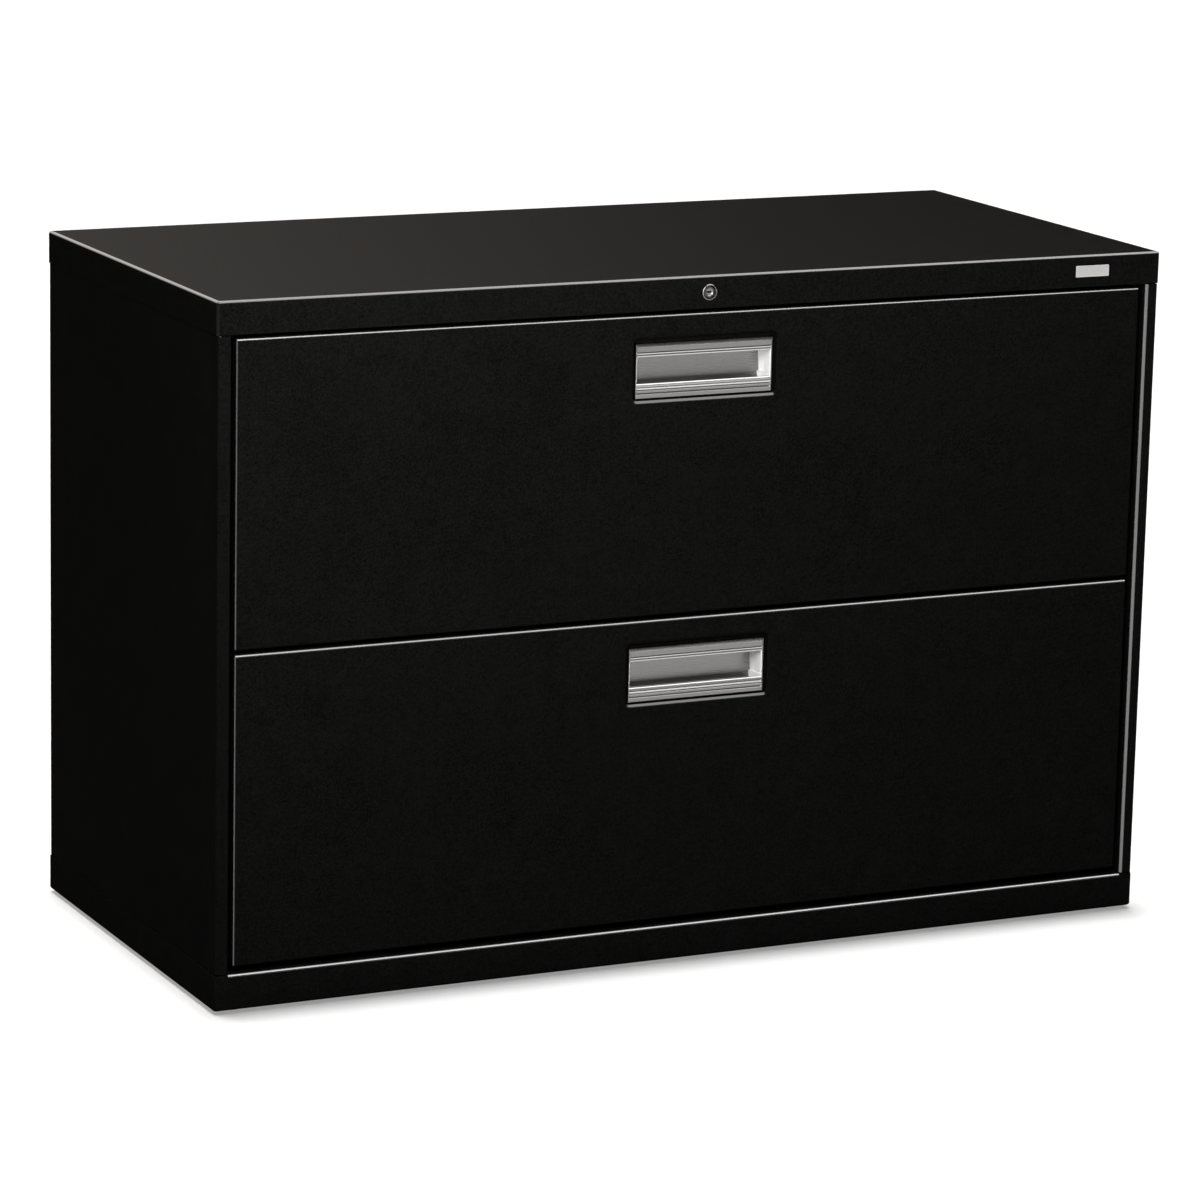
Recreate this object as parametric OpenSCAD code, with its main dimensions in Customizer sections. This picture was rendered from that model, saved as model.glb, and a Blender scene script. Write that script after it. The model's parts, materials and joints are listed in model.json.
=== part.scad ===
// Two-drawer lateral filing cabinet, folded from sheet steel.
// The front faces -Y, +X is to the right as seen from the front, and +Z is up.
// The origin lies on the floor, under the middle of the cabinet's box. Lengths are in millimetres.

/* [Case] */
// Overall width, across the cap
case_w = 1067; // [900:1:1220]
// Overall depth, from the lock's face to the back
overall_d = 489; // [470:1:560]
// Overall height, from the floor to the top
case_h = 721; // [700:1:800]
// Thickness of the case's sheet steel
sheet = 1; // [0.8:0.05:1.2]
// Clearance between lapped sheets
seam = 0.2; // [0.1:0.05:0.3]
// Outer radius of the bends that show
bend_r = 3; // [2:0.25:4]
// Height of the cap's apron and flanges
cap_h = 34; // [32:1:44]
// Depth of the fold under the apron
apron_fold = 13; // [8:0.5:14]
// Height of the base frame
base_h = 37.5; // [30:0.5:44]
// Gap between the base frame and the floor
base_lift = 3; // [2.5:0.25:6]
// Width of the base frame's bottom flange
base_flange = 45; // [40:1:60]
// Depth of the fold on top of the base frame's front
base_fold = 17; // [10:1:18]
// Width of a front post
post_w = 14.3; // [12:0.1:16]
// Depth of a front post
post_d = 20; // [18:1:24]
// Gap above and below a front post
post_gap = 0.6; // [0.4:0.1:1]
// Width of the flange at the back of a side panel
rear_flange = 15; // [10:1:25]

/* [Uprights and counterweight] */
// Width of an upright channel, from the side panel to its face
upright_w = 12; // [11:0.5:14]
// Depth of an upright channel, front to back
upright_d = 40; // [36:1:50]
// Sheet thickness of the uprights and of the channel behind the apron
upright_t = 1.2; // [1:0.1:1.5]
// Gap between an upright and the fold in front of it
upright_gap = 1; // [0.5:0.1:2]
// Gap between an upright's top and the apron's bottom edge
upright_drop = 1; // [0.5:0.1:3]
// Depth of the top flange of the channel behind the apron
channel_top = 40; // [30:1:60]
// Depth of the lower flange of the channel behind the apron
channel_low = 20; // [18:1:30]
// Height of the channel's lower flange above the apron's bottom edge
channel_lift = 3; // [2:0.5:4]
// Width of the counterweight
weight_w = 800; // [500:10:820]
// Depth of the counterweight
weight_d = 120; // [80:1:150]
// Thickness of the counterweight
weight_t = 10; // [6:1:12]

/* [Drawers] */
// Height of the lower drawer's front
lower_front_h = 320; // [300:1:330]
// Gap between the apron and the upper front
top_gap = 3.7; // [3:0.1:6]
// Gap between the two fronts
mid_gap = 4; // [3:0.1:6]
// Gap between the lower front and the base frame
bottom_gap = 6.5; // [6:0.5:14]
// Gap between a front and a post
side_gap = 5.5; // [4:0.1:7]
// Set-back of the fronts behind the posts
front_recess = 3; // [1:0.25:5]
// Depth of a front, face to back
front_d = 20; // [16:1:24]
// Thickness of the drawer's sheet steel
drawer_t = 1; // [0.8:0.05:1.2]
// Height of the drawer's floor above the bottom of its front
floor_lift = 12; // [10:0.5:18]
// Height of a drawer side
drawer_side_h = 250; // [230:1:262]
// Width of the flange on top of a drawer side
side_flange = 10; // [8:0.5:16]
// Height of the drawer's back below the top of its sides
back_drop = 30; // [10:1:80]
// Gap between a drawer and the cabinet's back
drawer_rear_gap = 27; // [20:1:40]
// Thickness of a hang rail
hang_t = 2.5; // [2:0.1:3]
// Height of a hang rail
hang_h = 14; // [10:0.5:18]
// Distance of the front hang rail behind the front
hang_inset = 25; // [22:1:40]
// Distance between the two hang rails
hang_pitch = 318; // [300:1:322]

/* [Pulls] */
// Width of the cut-out in a front
cut_w = 163; // [160:1:180]
// Height of the cut-out in a front
cut_h = 63.75; // [62:0.25:70]
// Corner radius of the cut-out
cut_r = 5; // [3:0.5:8]
// Distance of the cut-out below the top of its front
cut_drop = 24; // [20:0.5:30]
// Depth of the flange round the cut-out
cut_flange = 6; // [5:0.5:7]
// Width of a pull, with its end caps
pull_w = 156.5; // [120:0.5:158]
// Height of a pull
pull_h = 56; // [50:0.5:58]
// Depth of a pull
pull_d = 27; // [24:0.5:30]
// Wall thickness of the pull's extrusion
pull_t = 1.8; // [1.5:0.1:2.2]
// Thickness of the pull's front bands
band_t = 2.4; // [2:0.1:3]
// Height of the pull's upper band
upper_band = 13; // [10:0.25:14]
// Height of the pull's lower band
lower_band = 15.5; // [12:0.25:18]
// Set-back of the pull behind the face of its front
pull_set = 3.5; // [2:0.25:5]
// Gap between the pull's lower edge and the cut-out
pull_gap = 1.25; // [1:0.25:2.5]
// Pitch of the grooves in the bands
groove_pitch = 3.9; // [3.2:0.1:4.4]
// Width of a groove
groove_w = 0.9; // [0.6:0.1:1.2]
// Depth of a groove
groove_d = 0.5; // [0.3:0.05:0.8]
// Thickness of a pull's end cap
end_t = 2; // [1.5:0.1:2.5]
// Length of the ear on an end cap
ear_l = 14; // [12:0.5:18]
// Height of the ear on an end cap
ear_h = 24; // [16:1:30]
// Sheet thickness of the pull's bracket
bracket_t = 1.2; // [1:0.1:1.5]
// Gap between the cut-out's flange and the bracket
bracket_gap = 1; // [0.5:0.1:2]
// Width of the pull's bracket
bracket_w = 196; // [190:1:210]
// Height of the bracket above and below the pull
bracket_rim = 12; // [8:0.5:16]
// Clearance round a pull in its bracket
pull_clear = 1; // [0.5:0.1:2]
// Diameter of a pull screw
screw_d = 4; // [3.5:0.1:4.5]
// Clearance round a pull screw, on its radius
screw_clear = 0.1; // [0.05:0.01:0.2]
// Diameter of a pull screw's head
head_d = 7; // [6:0.1:8]
// Thickness of a pull screw's head
head_t = 2.4; // [2:0.1:3]

/* [Slides] */
// Space between an upright and a drawer side
slide_w = 16; // [15:0.1:18]
// Height of a slide
slide_h = 52; // [48:0.5:60]
// Thickness of the rails
rail_t = 1.5; // [1.2:0.1:1.6]
// Depth of the outer rail's flanges
outer_flange = 11; // [10:0.1:12]
// Space between two rails' flanges, where the balls run
race = 5; // [4.6:0.1:5.5]
// Space between two rails' webs
web_gap = 1.5; // [1.4:0.05:1.8]
// Clearance between a ball and a rail
ball_clear = 0.3; // [0.2:0.05:0.4]
// Balls in a row
ball_count = 4; // [3:1:6]
// Thickness of a ball retainer
retainer_t = 0.7; // [0.5:0.05:0.8]
// Length of a ball retainer
retainer_l = 150; // [120:1:170]
// Clearance of a ball in its retainer, on its radius
pocket_clear = 0.2; // [0.1:0.05:0.3]
// Travel of a drawer
travel = 400; // [360:1:410]
// Length of an outer rail
outer_l = 430; // [420:1:440]
// Length of a middle rail
middle_l = 415; // [405:1:420]
// Length of an inner rail
inner_l = 425; // [415:1:430]
// Gap between a front and the rails behind it
rail_gap = 2; // [1.5:0.1:4]
// Height of a slide's middle above the bottom of its drawer's front
slide_lift = 70; // [60:1:90]

/* [Lock and plate] */
// How far the lock stands out of the apron
lock_proud = 2.5; // [2:0.1:4]
// Diameter of the lock's bezel
bezel_d = 17.5; // [17:0.1:20]
// Diameter of the lock's barrel
barrel_d = 15.8; // [15:0.1:16.2]
// Length of the barrel behind the apron's face
barrel_l = 21; // [20:0.5:24]
// Diameter of the lock's plug
plug_d = 12; // [11:0.1:12.4]
// Running clearance of the plug, on its radius
plug_clear = 0.08; // [0.04:0.01:0.1]
// Depth of the cone in front of the plug
cone_d = 1.8; // [1:0.1:2.4]
// Width of the cone's rim on the bezel
rim_w = 1.2; // [0.8:0.1:1.4]
// Length of the keyway
keyway_l = 5.2; // [4:0.1:7]
// Depth of the keyway
keyway_depth = 8; // [5:0.5:12]
// Width of the keyway
keyway_w = 1.8; // [1.4:0.1:2.2]
// Clearance of the barrel in its holes, on its radius
barrel_clear = 0.2; // [0.1:0.05:0.3]
// Width of the lock's nut across its flats
nut_w = 22; // [20:0.5:24]
// Thickness of the lock's nut
nut_t = 3; // [2:0.1:4]
// Radius of the lock's cam
cam_r = 10; // [9.6:0.1:10.5]
// Thickness of the lock's cam, slide bar and lock bar
lock_t = 2; // [1.5:0.1:2.5]
// Radius at which the cam's pin sits
crank_r = 7; // [6:0.1:7.2]
// Diameter of the pins
pin_d = 5; // [4:0.1:5]
// Clearance of a pin in its slot, on each side
pin_clear = 0.5; // [0.4:0.05:0.6]
// Gap between two sliding lock pieces
lock_gap = 0.3; // [0.2:0.05:0.5]
// Metal left round a slot in the slide bar
slot_wall = 3; // [2:0.1:4]
// Gap between the lock bar and the face of its upright
lock_bar_gap = 1; // [0.6:0.1:1.5]
// Clearance of a tab in its slot in the upright
tab_clear = 1; // [0.6:0.1:2]
// Gap between an unlocked tab and the catch over it
tab_drop = 2; // [1:0.1:3]
// Height of the slide bar
slide_bar_h = 20; // [19.5:0.1:21]
// Width of the lock bar
lock_bar_w = 8; // [7:0.1:8.5]
// Height of a lock bar's tab
tab_h = 12; // [10:0.5:14]
// Height of a drawer's catch
catch_h = 20; // [14:0.5:24]
// Reach of a drawer's catch and of the tab under it
catch_w = 11; // [9:0.1:12]
// Gap between a tab and its catch
catch_gap = 1.2; // [1:0.1:2]
// Thickness of a catch
catch_t = 1.5; // [1.2:0.1:2]
// Length of a catch's foot on the drawer side
catch_foot = 25; // [20:1:35]
// Height of a catch's top edge below the top of its drawer side
catch_drop = 9; // [6:0.5:14]
// Width of the name plate
plate_w = 40; // [30:1:50]
// Height of the name plate
plate_h = 12; // [8:0.5:16]
// Thickness of the name plate
plate_t = 1; // [0.6:0.1:1.4]
// Distance from the plate to the cabinet's right edge
plate_inset = 62.5; // [40:0.5:80]

/* [Glides] */
// Distance of a glide from the cabinet's edges
glide_inset = 26; // [24:0.5:30]
// Diameter of a glide's pad
pad_d = 32; // [26:0.5:36]
// Gap between a pad and the base frame
pad_gap = 0.4; // [0.3:0.05:0.6]
// Diameter of a glide's stem
stem_d = 9.9; // [8:0.1:10]
// Length of a glide's stem above the floor
stem_l = 30; // [26:0.5:31]
// Running clearance of the stem in its nut, on its radius
stem_clear = 0.05; // [0.03:0.01:0.1]
// Clearance of the stem in the base frame, on its radius
stem_hole = 1; // [0.5:0.1:2]
// Width of a glide's nut across its flats
glide_nut_w = 17; // [15:0.5:19]
// Height of a glide's nut
glide_nut_h = 8; // [6:0.5:10]

/* [Hidden] */
$fn = 48;
LOWER = 0;
UPPER = 1;
// Overrun of a cut past the faces that it opens
over = 1;

// Main planes of the case
half_w = case_w / 2;
y_front = lock_proud - overall_d / 2;
y_back = overall_d / 2;
apron_z = case_h - cap_h;
cap_in = case_h - sheet;
base_top = base_lift + base_h;
floor_in = base_top - sheet;
side_x = half_w - sheet - seam;
wall_x = side_x - sheet;
post_x = side_x - post_w;
back_out = y_back - sheet - seam;
back_in = back_out - sheet;

// Uprights and the channel behind the apron
upright_x = wall_x - upright_w;
front_upright_y = y_front + post_d + upright_gap;
rear_upright_y = back_in - sheet - upright_gap - upright_d;
channel_y = y_front + sheet + apron_fold + upright_gap;
channel_z = apron_z + channel_lift;

// Drawer fronts and boxes, for the lower and the upper drawer
upper_front_h = apron_z - base_top - top_gap - mid_gap - bottom_gap - lower_front_h;
front_z = [base_top + bottom_gap, base_top + bottom_gap + lower_front_h + mid_gap];
front_h = [lower_front_h, upper_front_h];
front_half = post_x - side_gap;
face_y = y_front + front_recess;
front_back = face_y + front_d;
drawer_x = upright_x - slide_w;
box_x = drawer_x - drawer_t;
box_back = back_in - drawer_rear_gap;
function floor_z(d) = front_z[d] + floor_lift;
function side_top(d) = floor_z(d) + drawer_side_h;

// Pulls and their brackets
pull_y = face_y + pull_set;
bracket_y = face_y + cut_flange + bracket_gap;
ear_y = bracket_y + bracket_t;
screw_x = (pull_w + ear_l) / 2;
function cut_top(d) = front_z[d] + front_h[d] - cut_drop;
function pull_z(d) = cut_top(d) - cut_h + pull_gap;

// Slides: half heights and planes of the three rails
middle_half = slide_h / 2 - rail_t - race;
inner_half = middle_half - rail_t - race;
middle_x = upright_x - rail_t - web_gap;
outer_end = upright_x - outer_flange;
middle_end = drawer_x + 2 * web_gap;
inner_end = middle_x - rail_t - retainer_t - 2 * ball_clear - web_gap / 2;
ball_d = race - 2 * ball_clear;
rail_y = front_back + rail_gap;
function slide_z(d) = front_z[d] + slide_lift;
// Retainers lie in the middle of the rails' overlap when the drawer is fully out
outer_retainer_y = (2 * rail_y + middle_l - travel / 2) / 2 + travel / 4;
inner_retainer_y = (2 * rail_y + inner_l - travel * 3 / 2) / 2 + travel * 3 / 4;
outer_ball_x = (outer_end + middle_x) / 2;
inner_ball_x = (middle_end + inner_end) / 2;

// Lock works
lock_z = apron_z + cap_h / 2;
cam_y = y_front + barrel_l + lock_gap;
slide_bar_y = cam_y + lock_t + 2 * lock_gap;
lock_bar_y = slide_bar_y + lock_t + lock_gap;
crank_xz = crank_r * cos(45);
lock_throw = 2 * crank_xz;
slide_bar_z = channel_z + upright_t + lock_gap;
lock_bar_x = upright_x + upright_t + lock_bar_gap;
slot_w = pin_d + 2 * pin_clear;
cross_margin = slot_w / 2 + slot_wall;
cross_x = drawer_x - pin_d;
cross_z = slide_bar_z + cross_margin;
cross_top = cross_z + cross_margin;
notch_x = cross_x - lock_throw - cross_margin - slot_wall;
catch_y = lock_bar_y + lock_t + catch_gap;
function catch_top(d) = side_top(d) - catch_drop;
function tab_z(d) = catch_top(d) - catch_h - tab_drop - tab_h;

// Glides
glide_x = half_w - glide_inset;
glide_y = [y_front + glide_inset, y_back - glide_inset];

powder = [0.07, 0.07, 0.07];
zinc = [0.68, 0.69, 0.7];
aluminium = [0.72, 0.71, 0.69];
bright = [0.8, 0.8, 0.78];
dark_plastic = [0.12, 0.12, 0.12];

// Shapes that repeat

// Box between two opposite corners
module slab(a, b) {
    translate(a) cube(b - a);
}

// Outline drawn as (y, z), carried along X
module prism_x(x0, x1) {
    translate([x0, 0, 0]) rotate([90, 0, 90]) linear_extrude(x1 - x0) children();
}

// Outline drawn as (x, z), carried along Y
module prism_y(y0, y1) {
    translate([0, y1, 0]) rotate([90, 0, 0]) linear_extrude(y1 - y0) children();
}

// Outline drawn as (x, y), carried along Z
module prism_z(z0, z1) {
    translate([0, 0, z0]) linear_extrude(z1 - z0) children();
}

// Round piece whose axis runs along Y, starting at a point
module along_y(p) {
    translate(p) rotate([-90, 0, 0]) children();
}

// A piece and its mirror image on the other side of the cabinet
module both_sides() {
    children();
    mirror([1, 0, 0]) children();
}

// Rectangle whose chosen corners are round, in the order: low left, low right, high left, high right
module round_rect(a, b, r, corners = [1, 1, 1, 1]) {
    difference() {
        translate(a) square(b - a);
        for (i = [0:3]) {
            right = i % 2;
            high = floor(i / 2);
            tip = [right == 1 ? b[0] : a[0], high == 1 ? b[1] : a[1]];
            inward = [right == 1 ? -1 : 1, high == 1 ? -1 : 1];
            middle = tip + r * inward;
            if (corners[i] == 1) {
                difference() {
                    translate((tip - over * inward + middle) / 2) square(r + over, center = true);
                    translate(middle) circle(r);
                }
            }
        }
    }
}

// Block whose edges are round in its three views: yz seen from the side, xz from the front, xy from above
module folded_block(a, b, r, yz, xz, xy) {
    intersection() {
        prism_x(a[0] - over, b[0] + over) round_rect([a[1], a[2]], [b[1], b[2]], r, yz);
        prism_y(a[1] - over, b[1] + over) round_rect([a[0], a[2]], [b[0], b[2]], r, xz);
        prism_z(a[2] - over, b[2] + over) round_rect([a[0], a[1]], [b[0], b[1]], r, xy);
    }
}

// Channel outline, open towards -X: its web lies at x1, its flanges reach back to x0
module channel(x0, x1, middle, half, t) {
    difference() {
        translate([x0, middle - half]) square([x1 - x0, 2 * half]);
        translate([x0 - over, middle - half + t]) square([x1 - x0 - t + over, 2 * (half - t)]);
    }
}

// Case

// Cap: top, apron and flanges in one folded sheet, with a fold under the apron and the lock's hole
module top_panel() {
    color(powder) difference() {
        union() {
            difference() {
                folded_block([-half_w, y_front, apron_z], [half_w, y_back, case_h], bend_r,
                    [0, 0, 1, 1], [0, 0, 1, 1], [1, 1, 1, 1]);
                slab([sheet - half_w, y_front + sheet, apron_z - over],
                    [half_w - sheet, y_back - sheet, cap_in]);
            }
            slab([seam - wall_x, y_front + sheet / 2, apron_z],
                [wall_x - seam, y_front + sheet + apron_fold, apron_z + sheet]);
        }
        along_y([0, y_front - over, lock_z]) cylinder(h = sheet + 2 * over, r = barrel_d / 2 + barrel_clear);
    }
}

// Side panel, folded into the front post and the rear flange
module side_panel() {
    slab([wall_x, y_front + sheet + seam, base_lift + sheet], [side_x, back_in, cap_in]);
    slab([side_x - rear_flange, back_in - sheet, base_top], [side_x, back_in, apron_z]);
    prism_z(base_top + post_gap, apron_z - post_gap) difference() {
        round_rect([post_x, y_front], [side_x, y_front + post_d], bend_r, [1, 1, 0, 0]);
        translate([post_x + sheet, y_front + sheet]) square([post_w - 2 * sheet, post_d]);
    }
}

module right_side_panel() {
    color(powder) union() side_panel();
}

module left_side_panel() {
    color(powder) mirror([1, 0, 0]) union() side_panel();
}

module back_panel() {
    color(powder) slab([-side_x, back_in, base_lift + sheet], [side_x, back_out, cap_in]);
}

module bottom_panel() {
    color(powder) slab([-wall_x, y_front + sheet, floor_in - sheet], [wall_x, back_in, floor_in]);
}

// Base: a ring of sheet with a bottom flange, a fold on top of its front and holes for the glides
module base_frame() {
    color(powder) difference() {
        union() {
            difference() {
                folded_block([-half_w, y_front, base_lift], [half_w, y_back, base_top], bend_r,
                    [1, 1, 0, 0], [1, 1, 0, 0], [1, 1, 1, 1]);
                slab([sheet - half_w, y_front + sheet, base_lift + sheet],
                    [half_w - sheet, y_back - sheet, base_top + over]);
            }
            slab([seam - wall_x, y_front + sheet / 2, floor_in],
                [wall_x - seam, y_front + sheet + base_fold, base_top]);
        }
        slab([base_flange - half_w, y_front + base_flange, base_lift - over],
            [half_w - base_flange, y_back - base_flange, base_lift + sheet + over]);
        for (x = [-glide_x, glide_x], y = glide_y) {
            translate([x, y, base_lift - over]) cylinder(h = sheet + 2 * over, r = stem_d / 2 + stem_hole);
        }
    }
}

// Upright channel on the right, with its back to the drawers
module upright(y0) {
    difference() {
        slab([upright_x, y0, floor_in], [wall_x, y0 + upright_d, apron_z - upright_drop]);
        slab([upright_x + upright_t, y0 + upright_t, floor_in - over],
            [wall_x + over, y0 + upright_d - upright_t, apron_z]);
    }
}

// The right front upright has a slot for each tab of the lock bar
module front_right_upright() {
    color(zinc) difference() {
        upright(front_upright_y);
        for (d = [LOWER, UPPER]) {
            slab([upright_x - over, lock_bar_y - tab_clear, tab_z(d) - tab_clear],
                [upright_x + upright_t + over, lock_bar_y + lock_t + tab_clear,
                tab_z(d) + tab_h + lock_throw + tab_clear]);
        }
    }
}

module front_left_upright() {
    color(zinc) mirror([1, 0, 0]) upright(front_upright_y);
}

module rear_right_upright() {
    color(zinc) upright(rear_upright_y);
}

module rear_left_upright() {
    color(zinc) mirror([1, 0, 0]) upright(rear_upright_y);
}

// Channel behind the apron: it carries the lock, and the slide bar runs on its lower flange
module apron_channel() {
    color(zinc) difference() {
        union() {
            slab([-wall_x, channel_y, channel_z], [wall_x, channel_y + upright_t, cap_in]);
            slab([-wall_x, channel_y, cap_in - upright_t], [wall_x, channel_y + channel_top, cap_in]);
            slab([-wall_x, channel_y, channel_z], [notch_x, channel_y + channel_low, channel_z + upright_t]);
        }
        along_y([0, channel_y - over, lock_z])
            cylinder(h = upright_t + 2 * over, r = barrel_d / 2 + barrel_clear);
    }
}

module counterweight() {
    color(dark_plastic) slab([-weight_w / 2, rear_upright_y - weight_d, floor_in],
        [weight_w / 2, rear_upright_y, floor_in + weight_t]);
}

// Bare plate on the apron
module name_plate() {
    color(bright) translate([half_w - plate_inset - plate_w, y_front - plate_t, lock_z - plate_h / 2])
        cube([plate_w, plate_t, plate_h]);
}

// Outer rails of one drawer
module outer_rails(d) {
    color(zinc) both_sides() prism_y(rail_y, rail_y + outer_l)
        channel(outer_end, upright_x, slide_z(d), slide_h / 2, rail_t);
}

// Nuts that the glides screw into, on the base frame's flange
module glide_nuts() {
    color(zinc) for (x = [-glide_x, glide_x], y = glide_y) {
        translate([x, y, base_lift + sheet]) difference() {
            cylinder(h = glide_nut_h, r = glide_nut_w / 2 / cos(30), $fn = 6);
            translate([0, 0, -over]) cylinder(h = glide_nut_h + 2 * over, r = stem_d / 2 + stem_clear);
        }
    }
}

// Levelling glide: a pad with a stem
module glide(x, y) {
    pad_h = base_lift - pad_gap;
    chamfer = pad_h / 3;
    color(dark_plastic) translate([x, y, 0]) rotate_extrude() polygon([
        [0, 0], [pad_d / 2 - chamfer, 0], [pad_d / 2, chamfer], [pad_d / 2, pad_h],
        [stem_d / 2, pad_h], [stem_d / 2, stem_l], [0, stem_l]
    ]);
}

// Lock

// Barrel with its bezel and the cone round the plug
module lock_barrel() {
    bore_r = plug_d / 2 + plug_clear;
    color(bright) along_y([0, y_front - lock_proud, lock_z]) rotate_extrude() polygon([
        [bezel_d / 2 - rim_w, 0], [bezel_d / 2, 0], [bezel_d / 2, lock_proud], [barrel_d / 2, lock_proud],
        [barrel_d / 2, lock_proud + barrel_l], [bore_r, lock_proud + barrel_l], [bore_r, cone_d]
    ]);
}

// Nut that clamps the barrel to the channel
module lock_nut() {
    color(zinc) along_y([0, channel_y + upright_t, lock_z]) difference() {
        cylinder(h = nut_t, r = nut_w / 2 / cos(30), $fn = 6);
        translate([0, 0, -over]) cylinder(h = nut_t + 2 * over, r = barrel_d / 2 + barrel_clear / 2);
    }
}

// Plug with a level keyway
module lock_plug() {
    plug_y = y_front - lock_proud + cone_d;
    color(bright) difference() {
        along_y([0, plug_y, lock_z]) cylinder(h = cam_y - plug_y, r = plug_d / 2);
        translate([-keyway_l / 2, plug_y - over, lock_z - keyway_w / 2])
            cube([keyway_l, keyway_depth + over, keyway_w]);
    }
}

// Round cam on the plug's end, with the pin that drives the slide bar
module lock_cam() {
    color(zinc) {
        along_y([0, cam_y, lock_z]) cylinder(h = lock_t, r = cam_r);
        along_y([crank_xz, cam_y, lock_z - crank_xz])
            cylinder(h = slide_bar_y + lock_t - cam_y, r = pin_d / 2);
    }
}

// Bar that the cam shifts to the left, with a sloping slot that lifts the lock bar
module lock_slide_bar() {
    crank_slot = [crank_xz - slot_w / 2, lock_z - crank_r - slot_w / 2];
    color(zinc) prism_y(slide_bar_y, slide_bar_y + lock_t) difference() {
        union() {
            translate([-cam_r - slot_w, slide_bar_z])
                square([cross_x + cam_r + slot_w, slide_bar_h]);
            translate([cross_x - cross_margin, slide_bar_z])
                square([lock_throw + 2 * cross_margin, cross_top + lock_throw - slide_bar_z]);
        }
        translate(crank_slot) square([slot_w, crank_r - crank_xz + slot_w]);
        translate([cross_x, cross_z]) circle(slot_w / 2);
        translate([cross_x + lock_throw, cross_z + lock_throw]) circle(slot_w / 2);
        translate([cross_x, cross_z]) rotate(45) translate([0, -slot_w / 2])
            square([lock_throw * sqrt(2), slot_w]);
    }
}

// Upright bar in the right front upright, with a tab under each drawer's catch
module lock_bar() {
    bar_end = lock_bar_x + lock_bar_w;
    top_low = cross_z - cross_margin;
    color(zinc) {
        prism_y(lock_bar_y, lock_bar_y + lock_t) {
            translate([lock_bar_x, front_z[LOWER]])
                square([lock_bar_w, cross_top - front_z[LOWER]]);
            translate([cross_x - cross_margin, top_low])
                square([bar_end - cross_x + cross_margin, cross_top - top_low]);
            for (d = [LOWER, UPPER]) {
                translate([drawer_x + catch_w / 2, tab_z(d)])
                    square([lock_bar_x - drawer_x - catch_w / 2 + over, tab_h]);
            }
        }
        along_y([cross_x, slide_bar_y, cross_z]) cylinder(h = lock_bar_y - slide_bar_y, r = pin_d / 2);
    }
}

// Clips that guide the lock bar in the upright
module lock_bar_guides() {
    clip_t = upright_t;
    web_x = upright_x + upright_t;
    clip_y = [lock_bar_y - lock_gap - clip_t, lock_bar_y + lock_t + lock_gap + clip_t];
    color(zinc) for (d = [LOWER, UPPER]) {
        translate([0, 0, slide_z(d) + slide_h]) difference() {
            slab([web_x, clip_y[0], 0], [lock_bar_x + lock_bar_w, clip_y[1], tab_h]);
            slab([lock_bar_x - lock_gap, clip_y[0] + clip_t, -over],
                [lock_bar_x + lock_bar_w + over, clip_y[1] - clip_t, tab_h + over]);
        }
    }
}

// Catch on the right side of a drawer, behind the lock bar's raised tab
module lock_catch(d) {
    low = catch_top(d) - catch_h;
    color(zinc) union() {
        slab([drawer_x, catch_y, low], [drawer_x + catch_t, catch_y + catch_foot, catch_top(d)]);
        slab([drawer_x, catch_y, low], [drawer_x + catch_w, catch_y + catch_t, catch_top(d)]);
    }
}

// Drawers

// Front: a folded shell with a flanged cut-out for the pull
module drawer_front(d) {
    z0 = front_z[d];
    z1 = front_z[d] + front_h[d];
    cut = [[-cut_w / 2, cut_top(d) - cut_h], [cut_w / 2, cut_top(d)]];
    rim = [sheet, sheet];
    color(powder) difference() {
        union() {
            difference() {
                folded_block([-front_half, face_y, z0], [front_half, front_back, z1], bend_r,
                    [1, 0, 1, 0], [1, 1, 1, 1], [1, 1, 0, 0]);
                slab([sheet - front_half, face_y + sheet, z0 + sheet],
                    [front_half - sheet, front_back + over, z1 - sheet]);
            }
            prism_y(face_y + sheet / 2, face_y + cut_flange)
                round_rect(cut[0] - rim, cut[1] + rim, cut_r + sheet);
        }
        prism_y(face_y - over, face_y + cut_flange + over) round_rect(cut[0], cut[1], cut_r);
    }
}

// Liner that closes the back of a front, with a window for the pull
module front_liner(d) {
    edge = sheet + seam;
    window = pull_clear + drawer_t;
    color(powder) difference() {
        slab([edge - front_half, front_back - drawer_t, front_z[d] + edge],
            [front_half - edge, front_back, front_z[d] + front_h[d] - edge]);
        slab([-pull_w / 2 - window, front_back - drawer_t - over, pull_z(d) - window],
            [pull_w / 2 + window, front_back + over, pull_z(d) + pull_h + window]);
    }
}

module drawer_bottom(d) {
    color(powder) slab([-box_x, front_back, floor_z(d)], [box_x, box_back, floor_z(d) + drawer_t]);
}

module drawer_back(d) {
    color(powder) slab([-box_x, box_back - drawer_t, floor_z(d) + drawer_t],
        [box_x, box_back, side_top(d) - back_drop]);
}

// Right side of a drawer box, with a flange on top that carries the hang rails
module drawer_side(d) {
    prism_y(front_back, box_back) {
        translate([box_x, floor_z(d)]) square([drawer_t, drawer_side_h]);
        translate([drawer_x - side_flange, side_top(d) - drawer_t]) square([side_flange, drawer_t]);
    }
}

module drawer_right_side(d) {
    color(powder) drawer_side(d);
}

module drawer_left_side(d) {
    color(powder) mirror([1, 0, 0]) drawer_side(d);
}

// Two bars from side to side, from which folders hang
module hang_rails(d) {
    color(zinc) for (y = [front_back + hang_inset, front_back + hang_inset + hang_pitch]) {
        slab([-box_x, y, side_top(d)], [box_x, y + hang_t, side_top(d) + hang_h]);
    }
}

// Grooves in a band of the pull, worked out from the band's height
module grooves(z0, h) {
    count = floor((h - groove_w) / groove_pitch);
    first = z0 + (h - (count - 1) * groove_pitch - groove_w) / 2;
    for (i = [0:count - 1]) {
        translate([pull_y - over, first + i * groove_pitch]) square([groove_d + over, groove_w]);
    }
}

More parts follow.
